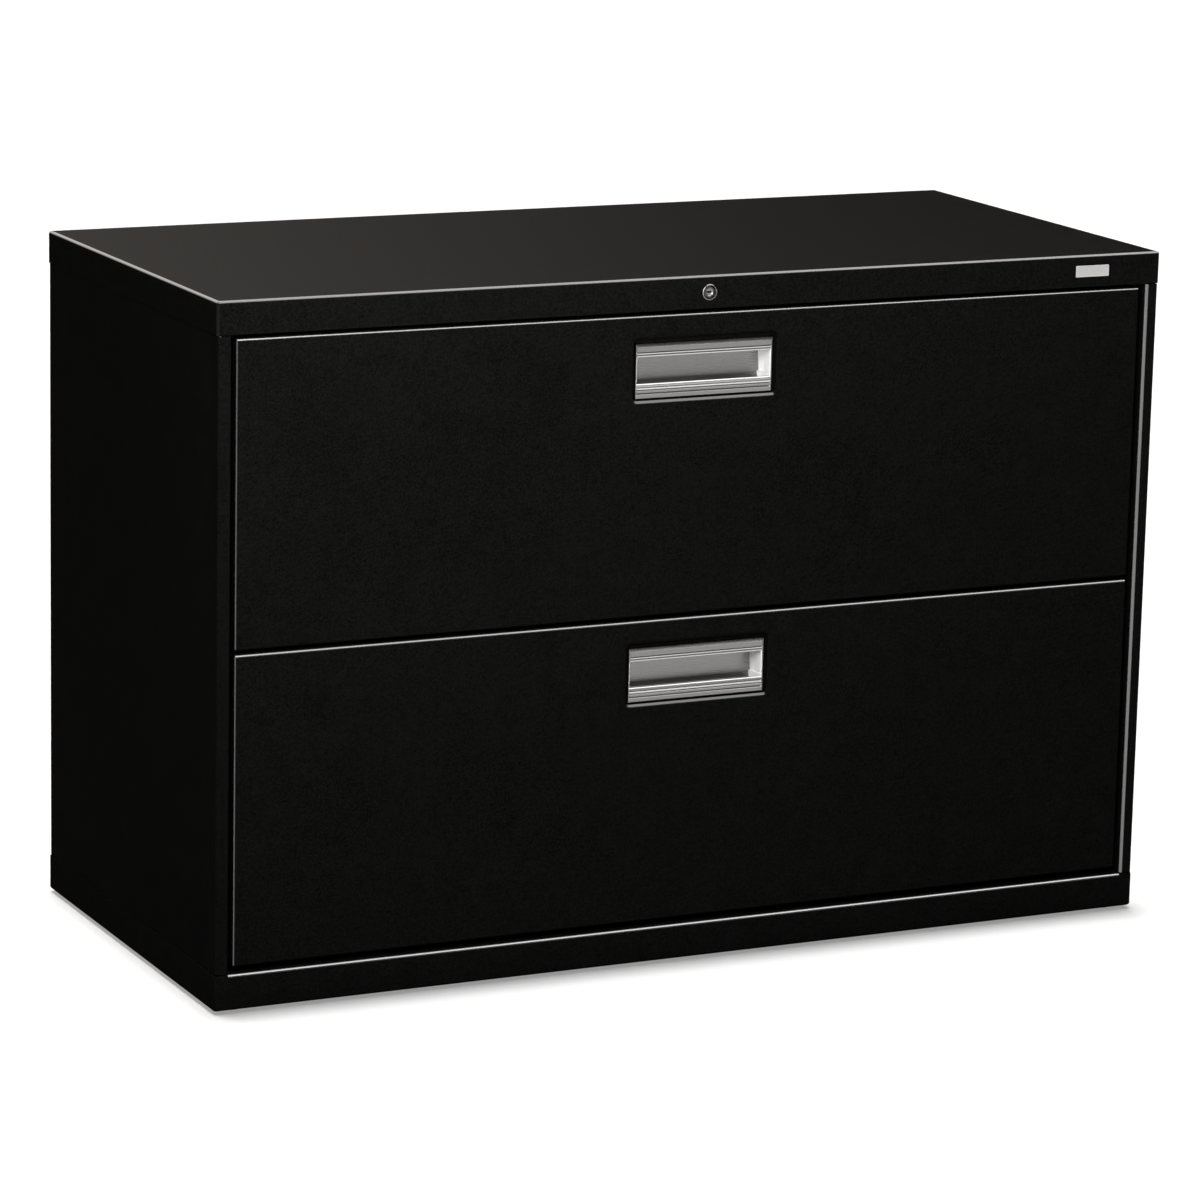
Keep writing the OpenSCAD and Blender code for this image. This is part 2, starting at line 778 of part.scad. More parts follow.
// Pull: an extrusion with a finger pocket between two grooved bands
module pull(d) {
    z0 = pull_z(d);
    z1 = z0 + pull_h;
    mouth_z = z0 + lower_band;
    half = pull_w / 2 - end_t;
    color(aluminium) prism_x(-half, half) difference() {
        translate([pull_y, z0]) square([pull_d, pull_h]);
        translate([pull_y + band_t, mouth_z])
            square([pull_d - band_t - pull_t, pull_h - lower_band - pull_t]);
        translate([pull_y - over, mouth_z]) square([band_t + 2 * over, pull_h - lower_band - upper_band]);
        translate([pull_y + band_t, z0 - over]) square([pull_d - band_t + over, lower_band - pull_t + over]);
        grooves(z0, lower_band);
        grooves(z1 - upper_band, upper_band);
    }
}

// End caps of a pull, each with an ear behind the bracket
module pull_end_caps(d) {
    z0 = pull_z(d);
    ear_z = z0 + (pull_h - ear_h) / 2;
    half = pull_w / 2;
    color(aluminium) both_sides() difference() {
        union() {
            slab([half - end_t, pull_y, z0], [half, pull_y + pull_d, z0 + pull_h]);
            slab([half - end_t, ear_y, ear_z], [half + ear_l, ear_y + end_t, ear_z + ear_h]);
        }
        along_y([screw_x, ear_y - over, z0 + pull_h / 2])
            cylinder(h = end_t + 2 * over, r = screw_d / 2 + screw_clear);
    }
}

// Bracket behind a front: a plate on two legs, with a window for the pull
module pull_bracket(d) {
    z0 = pull_z(d);
    half = bracket_w / 2;
    low = z0 - bracket_rim;
    high = z0 + pull_h + bracket_rim;
    color(powder) difference() {
        slab([-half, face_y + sheet, low], [half, ear_y, high]);
        slab([bracket_t - half, face_y + sheet - over, low - over],
            [half - bracket_t, bracket_y, high + over]);
        slab([-pull_w / 2 - pull_clear, bracket_y - over, z0 - pull_clear],
            [pull_w / 2 + pull_clear, ear_y + over, z0 + pull_h + pull_clear]);
        for (x = [-screw_x, screw_x]) {
            along_y([x, bracket_y - over, z0 + pull_h / 2])
                cylinder(h = bracket_t + 2 * over, r = screw_d / 2 + screw_clear);
        }
    }
}

// Screws that hold the end caps' ears to the bracket
module pull_screws(d) {
    color(zinc) for (x = [-screw_x, screw_x]) {
        along_y([x, bracket_y, pull_z(d) + pull_h / 2]) {
            cylinder(h = bracket_t + end_t + head_t, r = screw_d / 2);
            translate([0, 0, bracket_t + end_t]) cylinder(h = head_t, r = head_d / 2);
        }
    }
}

// Slides

// Inner rails, on the sides of the drawer
module inner_rails(d) {
    color(zinc) both_sides() prism_y(rail_y, rail_y + inner_l)
        translate([drawer_x + inner_end, 0]) mirror([1, 0])
        channel(drawer_x, inner_end, slide_z(d), inner_half, rail_t);
}

module middle_rails(d) {
    color(zinc) both_sides() prism_y(rail_y, rail_y + middle_l)
        channel(middle_end, middle_x, slide_z(d), middle_half, rail_t);
}

// Ball retainer and its balls between two rails: the flanges lie at the races, the web between the rails' webs
module bearing(d, half, ball_x, flange_x, web_x, y) {
    rows = [-half - race / 2, half + race / 2];
    pitch = retainer_l / ball_count;
    ball_y = [for (i = [0:ball_count - 1]) y - retainer_l / 2 + (i + 0.5) * pitch];
    translate([0, 0, slide_z(d)]) {
        difference() {
            prism_y(y - retainer_l / 2, y + retainer_l / 2)
                channel(flange_x, web_x, 0, half + race / 2 + retainer_t / 2, retainer_t);
            for (z = rows, v = ball_y) {
                translate([ball_x, v, z - race / 2]) cylinder(h = race, r = ball_d / 2 + pocket_clear);
            }
        }
        for (z = rows, v = ball_y) {
            translate([ball_x, v, z]) sphere(d = ball_d);
        }
    }
}

module outer_bearings(d) {
    web_x = upright_x - rail_t - (web_gap - retainer_t) / 2;
    color(zinc) both_sides() bearing(d, middle_half, outer_ball_x, outer_end, web_x, outer_retainer_y);
}

module inner_bearings(d) {
    web_x = (middle_x - rail_t + inner_end + retainer_t) / 2;
    color(zinc) both_sides() bearing(d, inner_half, inner_ball_x, middle_end, web_x, inner_retainer_y);
}

top_panel();
left_side_panel();
right_side_panel();
back_panel();
bottom_panel();
base_frame();
front_left_upright();
front_right_upright();
rear_left_upright();
rear_right_upright();
apron_channel();
counterweight();
name_plate();
lock_barrel();
lock_nut();
lock_bar_guides();
outer_rails(UPPER);  // upper_outer_rails
outer_rails(LOWER);  // lower_outer_rails
glide_nuts();
lock_plug();
lock_cam();
lock_slide_bar();
lock_bar();
glide(-glide_x, glide_y[0]);  // front_left_glide
glide(glide_x, glide_y[0]);  // front_right_glide
glide(-glide_x, glide_y[1]);  // rear_left_glide
glide(glide_x, glide_y[1]);  // rear_right_glide
drawer_front(UPPER);  // upper_drawer_front
front_liner(UPPER);  // upper_front_liner
drawer_bottom(UPPER);  // upper_drawer_bottom
drawer_back(UPPER);  // upper_drawer_back
drawer_left_side(UPPER);  // upper_drawer_left_side
drawer_right_side(UPPER);  // upper_drawer_right_side
hang_rails(UPPER);  // upper_hang_rails
pull(UPPER);  // upper_pull
pull_end_caps(UPPER);  // upper_pull_end_caps
pull_bracket(UPPER);  // upper_pull_bracket
pull_screws(UPPER);  // upper_pull_screws
inner_rails(UPPER);  // upper_inner_rails
lock_catch(UPPER);  // upper_lock_catch
drawer_front(LOWER);  // lower_drawer_front
front_liner(LOWER);  // lower_front_liner
drawer_bottom(LOWER);  // lower_drawer_bottom
drawer_back(LOWER);  // lower_drawer_back
drawer_left_side(LOWER);  // lower_drawer_left_side
drawer_right_side(LOWER);  // lower_drawer_right_side
hang_rails(LOWER);  // lower_hang_rails
pull(LOWER);  // lower_pull
pull_end_caps(LOWER);  // lower_pull_end_caps
pull_bracket(LOWER);  // lower_pull_bracket
pull_screws(LOWER);  // lower_pull_screws
inner_rails(LOWER);  // lower_inner_rails
lock_catch(LOWER);  // lower_lock_catch
middle_rails(UPPER);  // upper_middle_rails
middle_rails(LOWER);  // lower_middle_rails
outer_bearings(UPPER);  // upper_outer_bearings
inner_bearings(UPPER);  // upper_inner_bearings
outer_bearings(LOWER);  // lower_outer_bearings
inner_bearings(LOWER);  // lower_inner_bearings
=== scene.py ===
# %% [markdown]
# # A two-drawer lateral filing cabinet
# The cabinet is folded from sheet steel: a cap, two side panels with front posts, a base frame and two
# wide drawers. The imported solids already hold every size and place, so this script loads them as a fixed
# frame. It then draws fuller skins over the pieces that show, and gives every piece a finish. Lengths are
# in metres.

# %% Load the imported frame
import json
import math

import bmesh
import bpy
import numpy as np
from mathutils import Matrix, Vector


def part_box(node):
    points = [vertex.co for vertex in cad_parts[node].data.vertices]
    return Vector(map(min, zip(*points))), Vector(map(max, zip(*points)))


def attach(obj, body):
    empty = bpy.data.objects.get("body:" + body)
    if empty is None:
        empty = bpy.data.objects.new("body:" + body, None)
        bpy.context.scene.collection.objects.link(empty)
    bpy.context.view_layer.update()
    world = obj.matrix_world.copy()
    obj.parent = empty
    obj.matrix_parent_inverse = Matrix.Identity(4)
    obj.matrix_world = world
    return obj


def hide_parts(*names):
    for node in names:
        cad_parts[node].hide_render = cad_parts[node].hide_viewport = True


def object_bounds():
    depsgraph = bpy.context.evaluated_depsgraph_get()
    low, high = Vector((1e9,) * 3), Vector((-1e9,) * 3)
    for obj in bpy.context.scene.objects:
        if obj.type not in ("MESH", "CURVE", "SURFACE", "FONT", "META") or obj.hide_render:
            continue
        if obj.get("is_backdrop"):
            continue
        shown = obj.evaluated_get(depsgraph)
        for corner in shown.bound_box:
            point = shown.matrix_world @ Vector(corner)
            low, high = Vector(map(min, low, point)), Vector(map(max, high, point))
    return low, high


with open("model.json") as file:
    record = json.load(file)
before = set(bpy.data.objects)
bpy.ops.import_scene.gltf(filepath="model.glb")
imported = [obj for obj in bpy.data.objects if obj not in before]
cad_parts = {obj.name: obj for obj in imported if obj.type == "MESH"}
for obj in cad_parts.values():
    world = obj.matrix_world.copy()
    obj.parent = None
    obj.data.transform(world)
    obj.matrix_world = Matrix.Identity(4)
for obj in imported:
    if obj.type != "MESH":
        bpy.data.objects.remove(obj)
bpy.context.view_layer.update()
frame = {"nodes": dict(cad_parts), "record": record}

# %% [markdown]
# ## Camera
# The photograph was taken from the front left, a little above the cabinet, with a long lens. A camera
# could be aimed with a constraint, but a matrix built from three angles says the same thing and stays
# still.

# %% Place the camera
FRAME_PIXELS = 1200
FOCAL_PIXELS = 5062
camera_place = Vector((-2.306, -4.762, 1.514))
camera_yaw = math.radians(25.86)
camera_pitch = math.radians(12.58)
camera_roll = math.radians(-1.27)

forward = Vector((math.sin(camera_yaw) * math.cos(camera_pitch),
                  math.cos(camera_yaw) * math.cos(camera_pitch), -math.sin(camera_pitch)))
level_right = Vector((math.cos(camera_yaw), -math.sin(camera_yaw), 0))
level_up = level_right.cross(forward)
right = level_right * math.cos(camera_roll) - level_up * math.sin(camera_roll)
up = right.cross(forward)

camera_data = bpy.data.cameras.new("photo_camera")
camera_data.lens = FOCAL_PIXELS / FRAME_PIXELS * camera_data.sensor_width
camera_data.clip_end = 200
camera = bpy.data.objects.new("photo_camera", camera_data)
camera.matrix_world = Matrix.Translation(camera_place) @ Matrix((right, up, -forward)).transposed().to_4x4()
bpy.context.scene.collection.objects.link(camera)
bpy.context.scene.camera = camera
bpy.context.scene.view_settings.view_transform = "Standard"
print("lens", round(camera_data.lens, 1), "mm")

# %% [markdown]
# ## Shader helpers
# A finish is a small network of nodes round one Principled shader. Two short helpers make a network and
# wire it, so that each finish below reads as a list of what it is made of.

# %% Helpers for shader nodes


def add(tree, kind, **settings):
    """One node of a kind. A setting names a property of the node, or an input socket by its number."""
    node = tree.nodes.new(kind)
    for key, value in settings.items():
        if key.startswith("in_"):
            node.inputs[int(key[3:])].default_value = value
        else:
            setattr(node, key, value)
    return node


def wire(tree, *ends):
    """Links pairs of sockets: output, input, output, input and so on."""
    for source, target in zip(ends[::2], ends[1::2]):
        tree.links.new(source, target)


def finish_material(name, base_color, roughness, **sockets):
    """A material with one Principled shader, whose constant sockets are set straight on it."""
    material = bpy.data.materials.new(name)
    material.use_nodes = True
    shader = material.node_tree.nodes["Principled BSDF"]
    shader.inputs["Base Color"].default_value = (*base_color, 1)
    shader.inputs["Roughness"].default_value = roughness
    for socket, value in sockets.items():
        shader.inputs[socket.replace("_", " ")].default_value = value
    return material, material.node_tree, shader


def shader_group(name, inputs, outputs):
    """An empty node group with named float sockets, and its two end nodes."""
    tree = bpy.data.node_groups.new(name, "ShaderNodeTree")
    for label, value in inputs.items():
        socket = tree.interface.new_socket(label, in_out="INPUT", socket_type="NodeSocketFloat")
        socket.default_value = value
    for label in outputs:
        tree.interface.new_socket(label, in_out="OUTPUT", socket_type="NodeSocketFloat")
    return tree, add(tree, "NodeGroupInput"), add(tree, "NodeGroupOutput")


print("shader helpers are ready")

# %% [markdown]
# ## Floor, sky and lamps
# The photograph is a studio picture on white. The floor is pale and is lifted to white only where the
# camera or a reflection looks at it, so it keeps the soft shadow under the base and puts no more light on
# the cabinet. A sun overhead, a few fingers wide at arm's length, makes that shadow short. Two softboxes
# light the fronts and the ends of the pulls; flags keep them off the floor, as in a studio, which is what
# light linking is for. Two wide panels, under the ceiling and at the front right, are there for the
# rounded edges to mirror, and a warm glow low in the sky behind gives the top its sheen.

# %% Lay the floor
FLOOR_REACH = 60
FLOOR_ALBEDO = 0.5
FLOOR_LIFT = 0.29


def seen_directly(tree):
    """A socket that is 1 for rays from the camera, a reflection or glass, and 0 for the rest."""
    path = add(tree, "ShaderNodeLightPath")
    first = add(tree, "ShaderNodeMath", operation="MAXIMUM")
    both = add(tree, "ShaderNodeMath", operation="MAXIMUM")
    wire(tree, path.outputs["Is Camera Ray"], first.inputs[0],
         path.outputs["Is Glossy Ray"], first.inputs[1],
         first.outputs[0], both.inputs[0], path.outputs["Is Transmission Ray"], both.inputs[1])
    return both.outputs[0]


floor_finish, tree, shader = finish_material("pale_floor", (FLOOR_ALBEDO,) * 3, 1.0, Specular_IOR_Level=0)
shader.inputs["Emission Color"].default_value = (1, 1, 1, 1)
lift = add(tree, "ShaderNodeMath", operation="MULTIPLY", in_1=FLOOR_LIFT)
wire(tree, seen_directly(tree), lift.inputs[0], lift.outputs[0], shader.inputs["Emission Strength"])

corner_signs = np.array([[-1, -1, 0], [1, -1, 0], [1, 1, 0], [-1, 1, 0]])
floor_mesh = bpy.data.meshes.new("floor")
floor_mesh.from_pydata((FLOOR_REACH * corner_signs).tolist(), [], [(0, 1, 2, 3)])
floor = bpy.data.objects.new("floor", floor_mesh)
floor_mesh.materials.append(floor_finish)
bpy.context.scene.collection.objects.link(floor)
floor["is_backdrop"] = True
print("floor:", 2 * FLOOR_REACH, "m across")

# %% Light the sky
# The sky is dim, with one warm glow behind the cabinet. A camera that looks past the floor sees it white.
SKY_DIM = 0.06
GLOW = 2.6
GLOW_WAY = (-0.24, 0.89, 0.37)
GLOW_EDGE = math.cos(math.radians(47))
GLOW_CORE = math.cos(math.radians(18))
GLOW_CORE_COLOR = (1.0, 0.96, 0.93, 1)
GLOW_EDGE_COLOR = (1.0, 0.86, 0.75, 1)

world = bpy.data.worlds.new("studio_sky")
bpy.context.scene.world = world
world.use_nodes = True
tree = world.node_tree
background = tree.nodes["Background"]
way = add(tree, "ShaderNodeTexCoord")
toward = add(tree, "ShaderNodeVectorMath", operation="DOT_PRODUCT", in_1=GLOW_WAY)
glow = add(tree, "ShaderNodeMapRange", interpolation_type="SMOOTHSTEP")
for socket, value in enumerate((GLOW_EDGE, GLOW_CORE, SKY_DIM, GLOW), start=1):
    glow.inputs[socket].default_value = value
path = add(tree, "ShaderNodeLightPath")
strength = add(tree, "ShaderNodeMix")
strength.inputs["B"].default_value = 1
warmth = add(tree, "ShaderNodeMapRange", in_1=SKY_DIM, in_2=GLOW)
warm = add(tree, "ShaderNodeMix", data_type="RGBA")
warm.inputs[6].default_value = GLOW_EDGE_COLOR
warm.inputs[7].default_value = GLOW_CORE_COLOR
tint = add(tree, "ShaderNodeMix", data_type="RGBA")
tint.inputs[7].default_value = (1, 1, 1, 1)
to_camera = path.outputs["Is Camera Ray"]
wire(tree, way.outputs["Generated"], toward.inputs[0], toward.outputs["Value"], glow.inputs[0],
     to_camera, strength.inputs[0], glow.outputs[0], strength.inputs["A"],
     strength.outputs[0], background.inputs["Strength"], to_camera, tint.inputs[0],
     glow.outputs[0], warmth.inputs[0], warmth.outputs[0], warm.inputs[0], warm.outputs[2], tint.inputs[6],
     tint.outputs[2], background.inputs["Color"])
print("sky from", SKY_DIM, "to", GLOW)

# %% Hang the lamps


def softbox(name, place, target, width, height, radiance):
    """A rectangular lamp that looks from its place to a target.

    Its power in watts is pi times its area times the brightness that a mirror would show."""
    data = bpy.data.lights.new(name, "AREA")
    data.shape = "RECTANGLE"
    data.size = width
    data.size_y = height
    data.energy = math.pi * width * height * radiance
    lamp = bpy.data.objects.new(name, data)
    lamp.location = place
    lamp.rotation_euler = (Vector(target) - Vector(place)).to_track_quat("-Z", "Y").to_euler()
    lamp.visible_camera = False
    bpy.context.scene.collection.objects.link(lamp)
    print(name, round(data.energy, 1), "W")
    return lamp


SUN_POWER = 4.5
SUN_SPREAD = math.radians(4.4)
SUN_TILT = 0.025
sun_data = bpy.data.lights.new("overhead_sun", "SUN")
sun_data.energy = SUN_POWER
sun_data.angle = SUN_SPREAD
sun = bpy.data.objects.new("overhead_sun", sun_data)
sun.rotation_euler = Vector((0, -SUN_TILT, -1)).to_track_quat("-Z", "Y").to_euler()
sun.visible_glossy = False
bpy.context.scene.collection.objects.link(sun)
print("sun", SUN_POWER, "W per square metre")

# %% Hang the softboxes and panels
left_box = softbox("left_softbox", (-0.5, -1.0, 1.0), (0.1, -0.24, 0.5), 0.8, 0.7, 8.3)
right_box = softbox("right_softbox", (0.5, -1.0, 1.4), (0.3, -0.24, 0.6), 0.8, 0.4, 7.0)
ceiling = softbox("ceiling_panel", (2.2, 0.7, 4.5), (2.2, 0.7, 0), 5.5, 8.0, 2.5)
wall = softbox("wall_panel", (2.8, -4.5, 4.5), (0, -0.24, 0.5), 5.0, 3.6, 3.4)
right_box.visible_glossy = False
ceiling.visible_diffuse = False
wall.visible_diffuse = False

# %% Keep the softboxes off the floor
flagged = bpy.data.collections.new("flagged_from_softboxes")
flagged.objects.link(floor)
flagged.collection_objects[0].light_linking.link_state = "EXCLUDE"
left_box.light_linking.receiver_collection = flagged
right_box.light_linking.receiver_collection = flagged

# %% [markdown]
# ## Grain and streaks
# Two effects come back in several finishes. Powder coat, cast iron and moulded nylon share a fine grain,
# and every drawn or rolled metal has streaks along its length. Each is a node group with its own scale,
# so that a finish only says how coarse it is. The groups put out values that change over the surface, and
# the finish decides what these values do.

# %% Build the grain group
# Inputs 3 and 4 of a noise are its detail and its roughness.
FINE_NOISE = {"in_3": 3.0, "in_4": 0.6}
COARSE_NOISE = {"in_3": 2.0, "in_4": 0.5}
COARSE_SCALE = 0.06
FINE_SHARE = 0.9
COARSE_SHARE = 0.1
TONE_RANGE = {"in_1": 0.3, "in_2": 0.7}
grain_group, ends_in, ends_out = shader_group("powder_grain", {"Scale": 700.0}, ["Tone", "Height"])
place = add(grain_group, "ShaderNodeTexCoord")
coarse_scale = add(grain_group, "ShaderNodeMath", operation="MULTIPLY", in_1=COARSE_SCALE)
fine = add(grain_group, "ShaderNodeTexNoise", **FINE_NOISE)
coarse = add(grain_group, "ShaderNodeTexNoise", **COARSE_NOISE)
tone = add(grain_group, "ShaderNodeMath", operation="MULTIPLY_ADD", in_1=FINE_SHARE)
part_coarse = add(grain_group, "ShaderNodeMath", operation="MULTIPLY", in_1=COARSE_SHARE)
spread = add(grain_group, "ShaderNodeMapRange", **TONE_RANGE)
wire(grain_group, place.outputs["Object"], fine.inputs["Vector"],
     place.outputs["Object"], coarse.inputs["Vector"],
     ends_in.outputs["Scale"], fine.inputs["Scale"], ends_in.outputs["Scale"], coarse_scale.inputs[0],
     coarse_scale.outputs[0], coarse.inputs["Scale"], coarse.outputs[0], part_coarse.inputs[0],
     fine.outputs[0], tone.inputs[0], part_coarse.outputs[0], tone.inputs[2],
     tone.outputs[0], spread.inputs[0], spread.outputs[0], ends_out.inputs["Tone"],
     fine.outputs[0], ends_out.inputs["Height"])
print("grain group:", len(grain_group.nodes), "nodes")

# %% Build the streak group
STREAK_STRETCH = 0.0006
STREAK_NOISE = {"in_3": 4.0, "in_4": 0.65}
streak_group, ends_in, ends_out = shader_group("drawn_streaks", {"Scale": 1500.0}, ["Tone", "Height"])
place = add(streak_group, "ShaderNodeTexCoord")
stretch = add(streak_group, "ShaderNodeMapping")
stretch.inputs["Scale"].default_value = (STREAK_STRETCH, 1, 1)
lines = add(streak_group, "ShaderNodeTexNoise", **STREAK_NOISE)
spread = add(streak_group, "ShaderNodeMapRange", **TONE_RANGE)
wire(streak_group, place.outputs["Object"], stretch.inputs["Vector"],
     stretch.outputs[0], lines.inputs["Vector"],
     ends_in.outputs["Scale"], lines.inputs["Scale"], lines.outputs[0], spread.inputs[0],
     spread.outputs[0], ends_out.inputs["Tone"], lines.outputs[0], ends_out.inputs["Height"])
print("streak group:", len(streak_group.nodes), "nodes")

# %% [markdown]
# ## Finishes
# The steel is powder coated black: nearly matt on the flats, and rubbed smooth where the sheet is bent,
# which is why every bend draws a bright line. The skins carry a value called bend, which is 1 on a bend
# and 0 elsewhere, and it brings up a glossy coat there. The pulls are satin aluminium, the lock is
# nickel, and the works are zinc.

# %% A helper that puts an effect into a finish


def grained(finish, group, scale, dark, light, bump, rough=None, polish=None):
    """Spreads a group's tone between two colours, and its height into a bump of a given depth in metres.

    Where a skin's bend value is 1, a polish colour takes the place of both."""
    material, tree, shader = finish
    effect = add(tree, "ShaderNodeGroup", node_tree=group)
    effect.inputs["Scale"].default_value = scale
    colours = add(tree, "ShaderNodeMix", data_type="RGBA")
    colours.inputs[6].default_value = (*dark, 1)
    colours.inputs[7].default_value = (*light, 1)
    relief = add(tree, "ShaderNodeBump")
    relief.inputs["Distance"].default_value = bump
    relief.inputs["Strength"].default_value = 1
    wire(tree, effect.outputs["Tone"], colours.inputs[0], colours.outputs[2], shader.inputs["Base Color"],
         effect.outputs["Height"], relief.inputs["Height"], relief.outputs[0], shader.inputs["Normal"])
    if polish:
        bend_value = add(tree, "ShaderNodeAttribute", attribute_name="bend")
        polished = add(tree, "ShaderNodeMix", data_type="RGBA")
        polished.inputs[7].default_value = (*polish, 1)
        wire(tree, bend_value.outputs["Fac"], polished.inputs[0], colours.outputs[2], polished.inputs[6],
             polished.outputs[2], shader.inputs["Base Color"])
    if rough:
        sheen = add(tree, "ShaderNodeMapRange", in_3=rough[0], in_4=rough[1])
        wire(tree, effect.outputs["Tone"], sheen.inputs[0], sheen.outputs[0], shader.inputs["Roughness"])
    return material


def grey(value, warmth=0.0):
    """A grey, in linear light, with a little more red and less blue."""
    return (value * (1 + warmth), value, value * (1 - warmth))


print("grained finishes are ready")

# %% Mix the finishes
powder = finish_material("black_powder_coat", grey(0.005), 0.65, Specular_IOR_Level=0, Coat_IOR=2.5,
                         Coat_Roughness=0.22)
bend_value = add(powder[1], "ShaderNodeAttribute", attribute_name="bend")
wire(powder[1], bend_value.outputs["Fac"], powder[2].inputs["Coat Weight"])
powder_coat = grained(powder, grain_group, 650, grey(0.0012), grey(0.0072, 0.03), 0.00006, (0.6, 0.75))
zinc_steel = grained(finish_material("zinc_plated_steel", grey(0.5), 0.4, Metallic=1), streak_group, 900,
                     grey(0.42), grey(0.58), 0.00001, (0.32, 0.5))
satin_aluminium = grained(finish_material("satin_aluminium", grey(0.3), 0.35, Metallic=1), streak_group,
                          2400, grey(0.21, 0.02), grey(0.26, 0.02), 0.000002, (0.24, 0.32),
                          grey(0.45, 0.01))
pale_cap = grained(finish_material("pale_end_cap", grey(0.9), 0.4), grain_group, 1400, grey(0.86),
                   grey(0.93), 0.00001)
nickel = grained(finish_material("nickel_lock", grey(0.22), 0.25, Metallic=1), grain_group, 2600,
                 grey(0.17, 0.03), grey(0.25, 0.03), 0.000004, (0.18, 0.3))
dark_plug = grained(finish_material("dark_lock_plug", grey(0.03), 0.4, Metallic=1), grain_group, 2600,
                    grey(0.05, 0.03), grey(0.09, 0.03), 0.00001, (0.3, 0.45))
bare_plate = grained(finish_material("bare_plate", grey(0.6), 0.4, Metallic=1), streak_group, 3000,
                     grey(0.48, 0.015), grey(0.59, 0.015), 0.000006, (0.34, 0.48))
cast_iron = grained(finish_material("cast_iron_weight", grey(0.05), 0.8), grain_group, 250, grey(0.03),
                    grey(0.08), 0.0003, (0.7, 0.9))
nylon = grained(finish_material("black_nylon", grey(0.03), 0.5), grain_group, 1800, grey(0.02), grey(0.04),
                0.00002, (0.42, 0.58))
print("finishes:", len(bpy.data.materials))

# %% [markdown]
# ## Skins from rings
# A folded panel is a stack of round-cornered rings. Where the rings draw in along a quarter circle the
# skin bends, and where two rings lie a hair apart the bend stays a bend and the flat stays flat. The same
# stack makes a cap, a drawer front with a hole in it, a lock and a plate, so one function of whole arrays
# does for them all.

# %% Close rows of points into skins
LEAD = 0.0004
CORNER_STEPS = 6
LEAST_RADIUS = 0.0003


def skin(grid, bend=0.0, ring=False):
    """Points, faces and bend values of a grid of points whose rows close on themselves.

    Face (i, j) joins points (i, j), (i, j+1), (i+1, j+1) and (i+1, j). With ring, the last row meets
    the first; otherwise one face closes each end."""
    rows, columns = grid.shape[:2]
    i = np.arange(rows if ring else rows - 1)[:, None]
    j = np.arange(columns)[None, :]
    after_i = (i + 1) % rows
    after_j = (j + 1) % columns
    quads = np.stack(np.broadcast_arrays(i * columns + j, i * columns + after_j, after_i * columns + after_j,
                                         after_i * columns + j), axis=-1)
    faces = quads.reshape(-1, 4).tolist()
    if not ring:
        faces.append(np.arange(columns).tolist())
        faces.append(np.arange((rows - 1) * columns, rows * columns).tolist())
    return grid.reshape(-1, 3), faces, np.broadcast_to(bend, (rows, columns)).ravel()


def rings(sides, corner, level, order, lead=LEAD, steps=CORNER_STEPS, stops=()):
    """Rows of round-cornered rectangles, one for each row of sides and each level w.

    A row of sides is low u, high u, low v, high v.
    A corner's point is its middle plus the radius times (cos t, sin t), for t over a quarter turn. One point
    more lies a lead along each straight side, and the side at low v has one at each stop u; the stops may
    differ from row to row. order says which axis each of x, y and z takes from (u, v, w)."""
    low_u, high_u, low_v, high_v = np.asarray(sides, float).T[:, :, None]
    radius = np.broadcast_to(np.maximum(corner, LEAST_RADIUS), len(sides))[:, None]
    turn = np.linspace(0, math.pi / 2, steps + 1)
    along = np.zeros(steps + 1)
    if lead:
        turn = np.concatenate([turn[:1], turn, turn[-1:]])
        along = np.concatenate([[-lead], along, [lead]])
    middles = ((high_u - radius, high_v - radius), (low_u + radius, high_v - radius),
               (low_u + radius, low_v + radius), (high_u - radius, low_v + radius))
    u = [m[0] + radius * np.cos(turn + k * math.pi / 2) - along * np.sin(turn + k * math.pi / 2)
         for k, m in enumerate(middles)]
    v = [m[1] + radius * np.sin(turn + k * math.pi / 2) + along * np.cos(turn + k * math.pi / 2)
         for k, m in enumerate(middles)]
    on_side = np.broadcast_to(np.asarray(stops, float), (len(sides), np.shape(stops)[-1]))
    u = np.concatenate([*u[:3], on_side, u[3]], axis=1)
    v = np.concatenate([*v[:3], 0 * on_side + low_v, v[3]], axis=1)
    w = np.broadcast_to(np.asarray(level, float)[:, None], u.shape)
    return np.stack([(u, v, w)[axis] for axis in order], axis=-1)


print("rings turn a corner in", CORNER_STEPS, "steps")

# %% Spread the bend values
BEND_STEPS = 8


def shine(rows, right, top, left, bottom, stops=()):
    """Bend values of a stack of rings: each row's share of the values of a ring's four sides.

    Round a corner, a value runs over evenly from one side's to the next. Stops have values of their own."""
    values = (right, top, left, bottom, right)
    corners = [np.linspace(values[k], values[k + 1], CORNER_STEPS + 3) for k in range(4)]
    return np.outer(rows, np.concatenate([*corners[:3], stops, corners[3]]))


def corner_shine(rows, value, stops=()):
    """Bend values of a stack of rings whose upright corners are bends, on the rows that have them."""
    corner = np.concatenate([[0], np.full(CORNER_STEPS + 1, value), [0]])
    return np.outer(rows, np.concatenate([corner, corner, corner, stops, corner]))


def quarter(radius, steps=BEND_STEPS):
    """A quarter bend: how far it has drawn in, r (1 - cos t), and how far it has risen, r sin t."""
    t = np.linspace(0, math.pi / 2, steps + 1)
    return radius * (1 - np.cos(t)), radius * np.sin(t)


def lit_rows(start, full, steps=BEND_STEPS):
    """Bend values along a quarter bend: 0 up to one angle in degrees, then evenly up to 1 at another."""
    return np.clip((np.linspace(0, 90, steps + 1) - start) / (full - start), 0, 1)


print("bends turn in", BEND_STEPS, "steps")

# %% Draw in, gather, pierce and mirror
BAR_EDGE = 0.0003


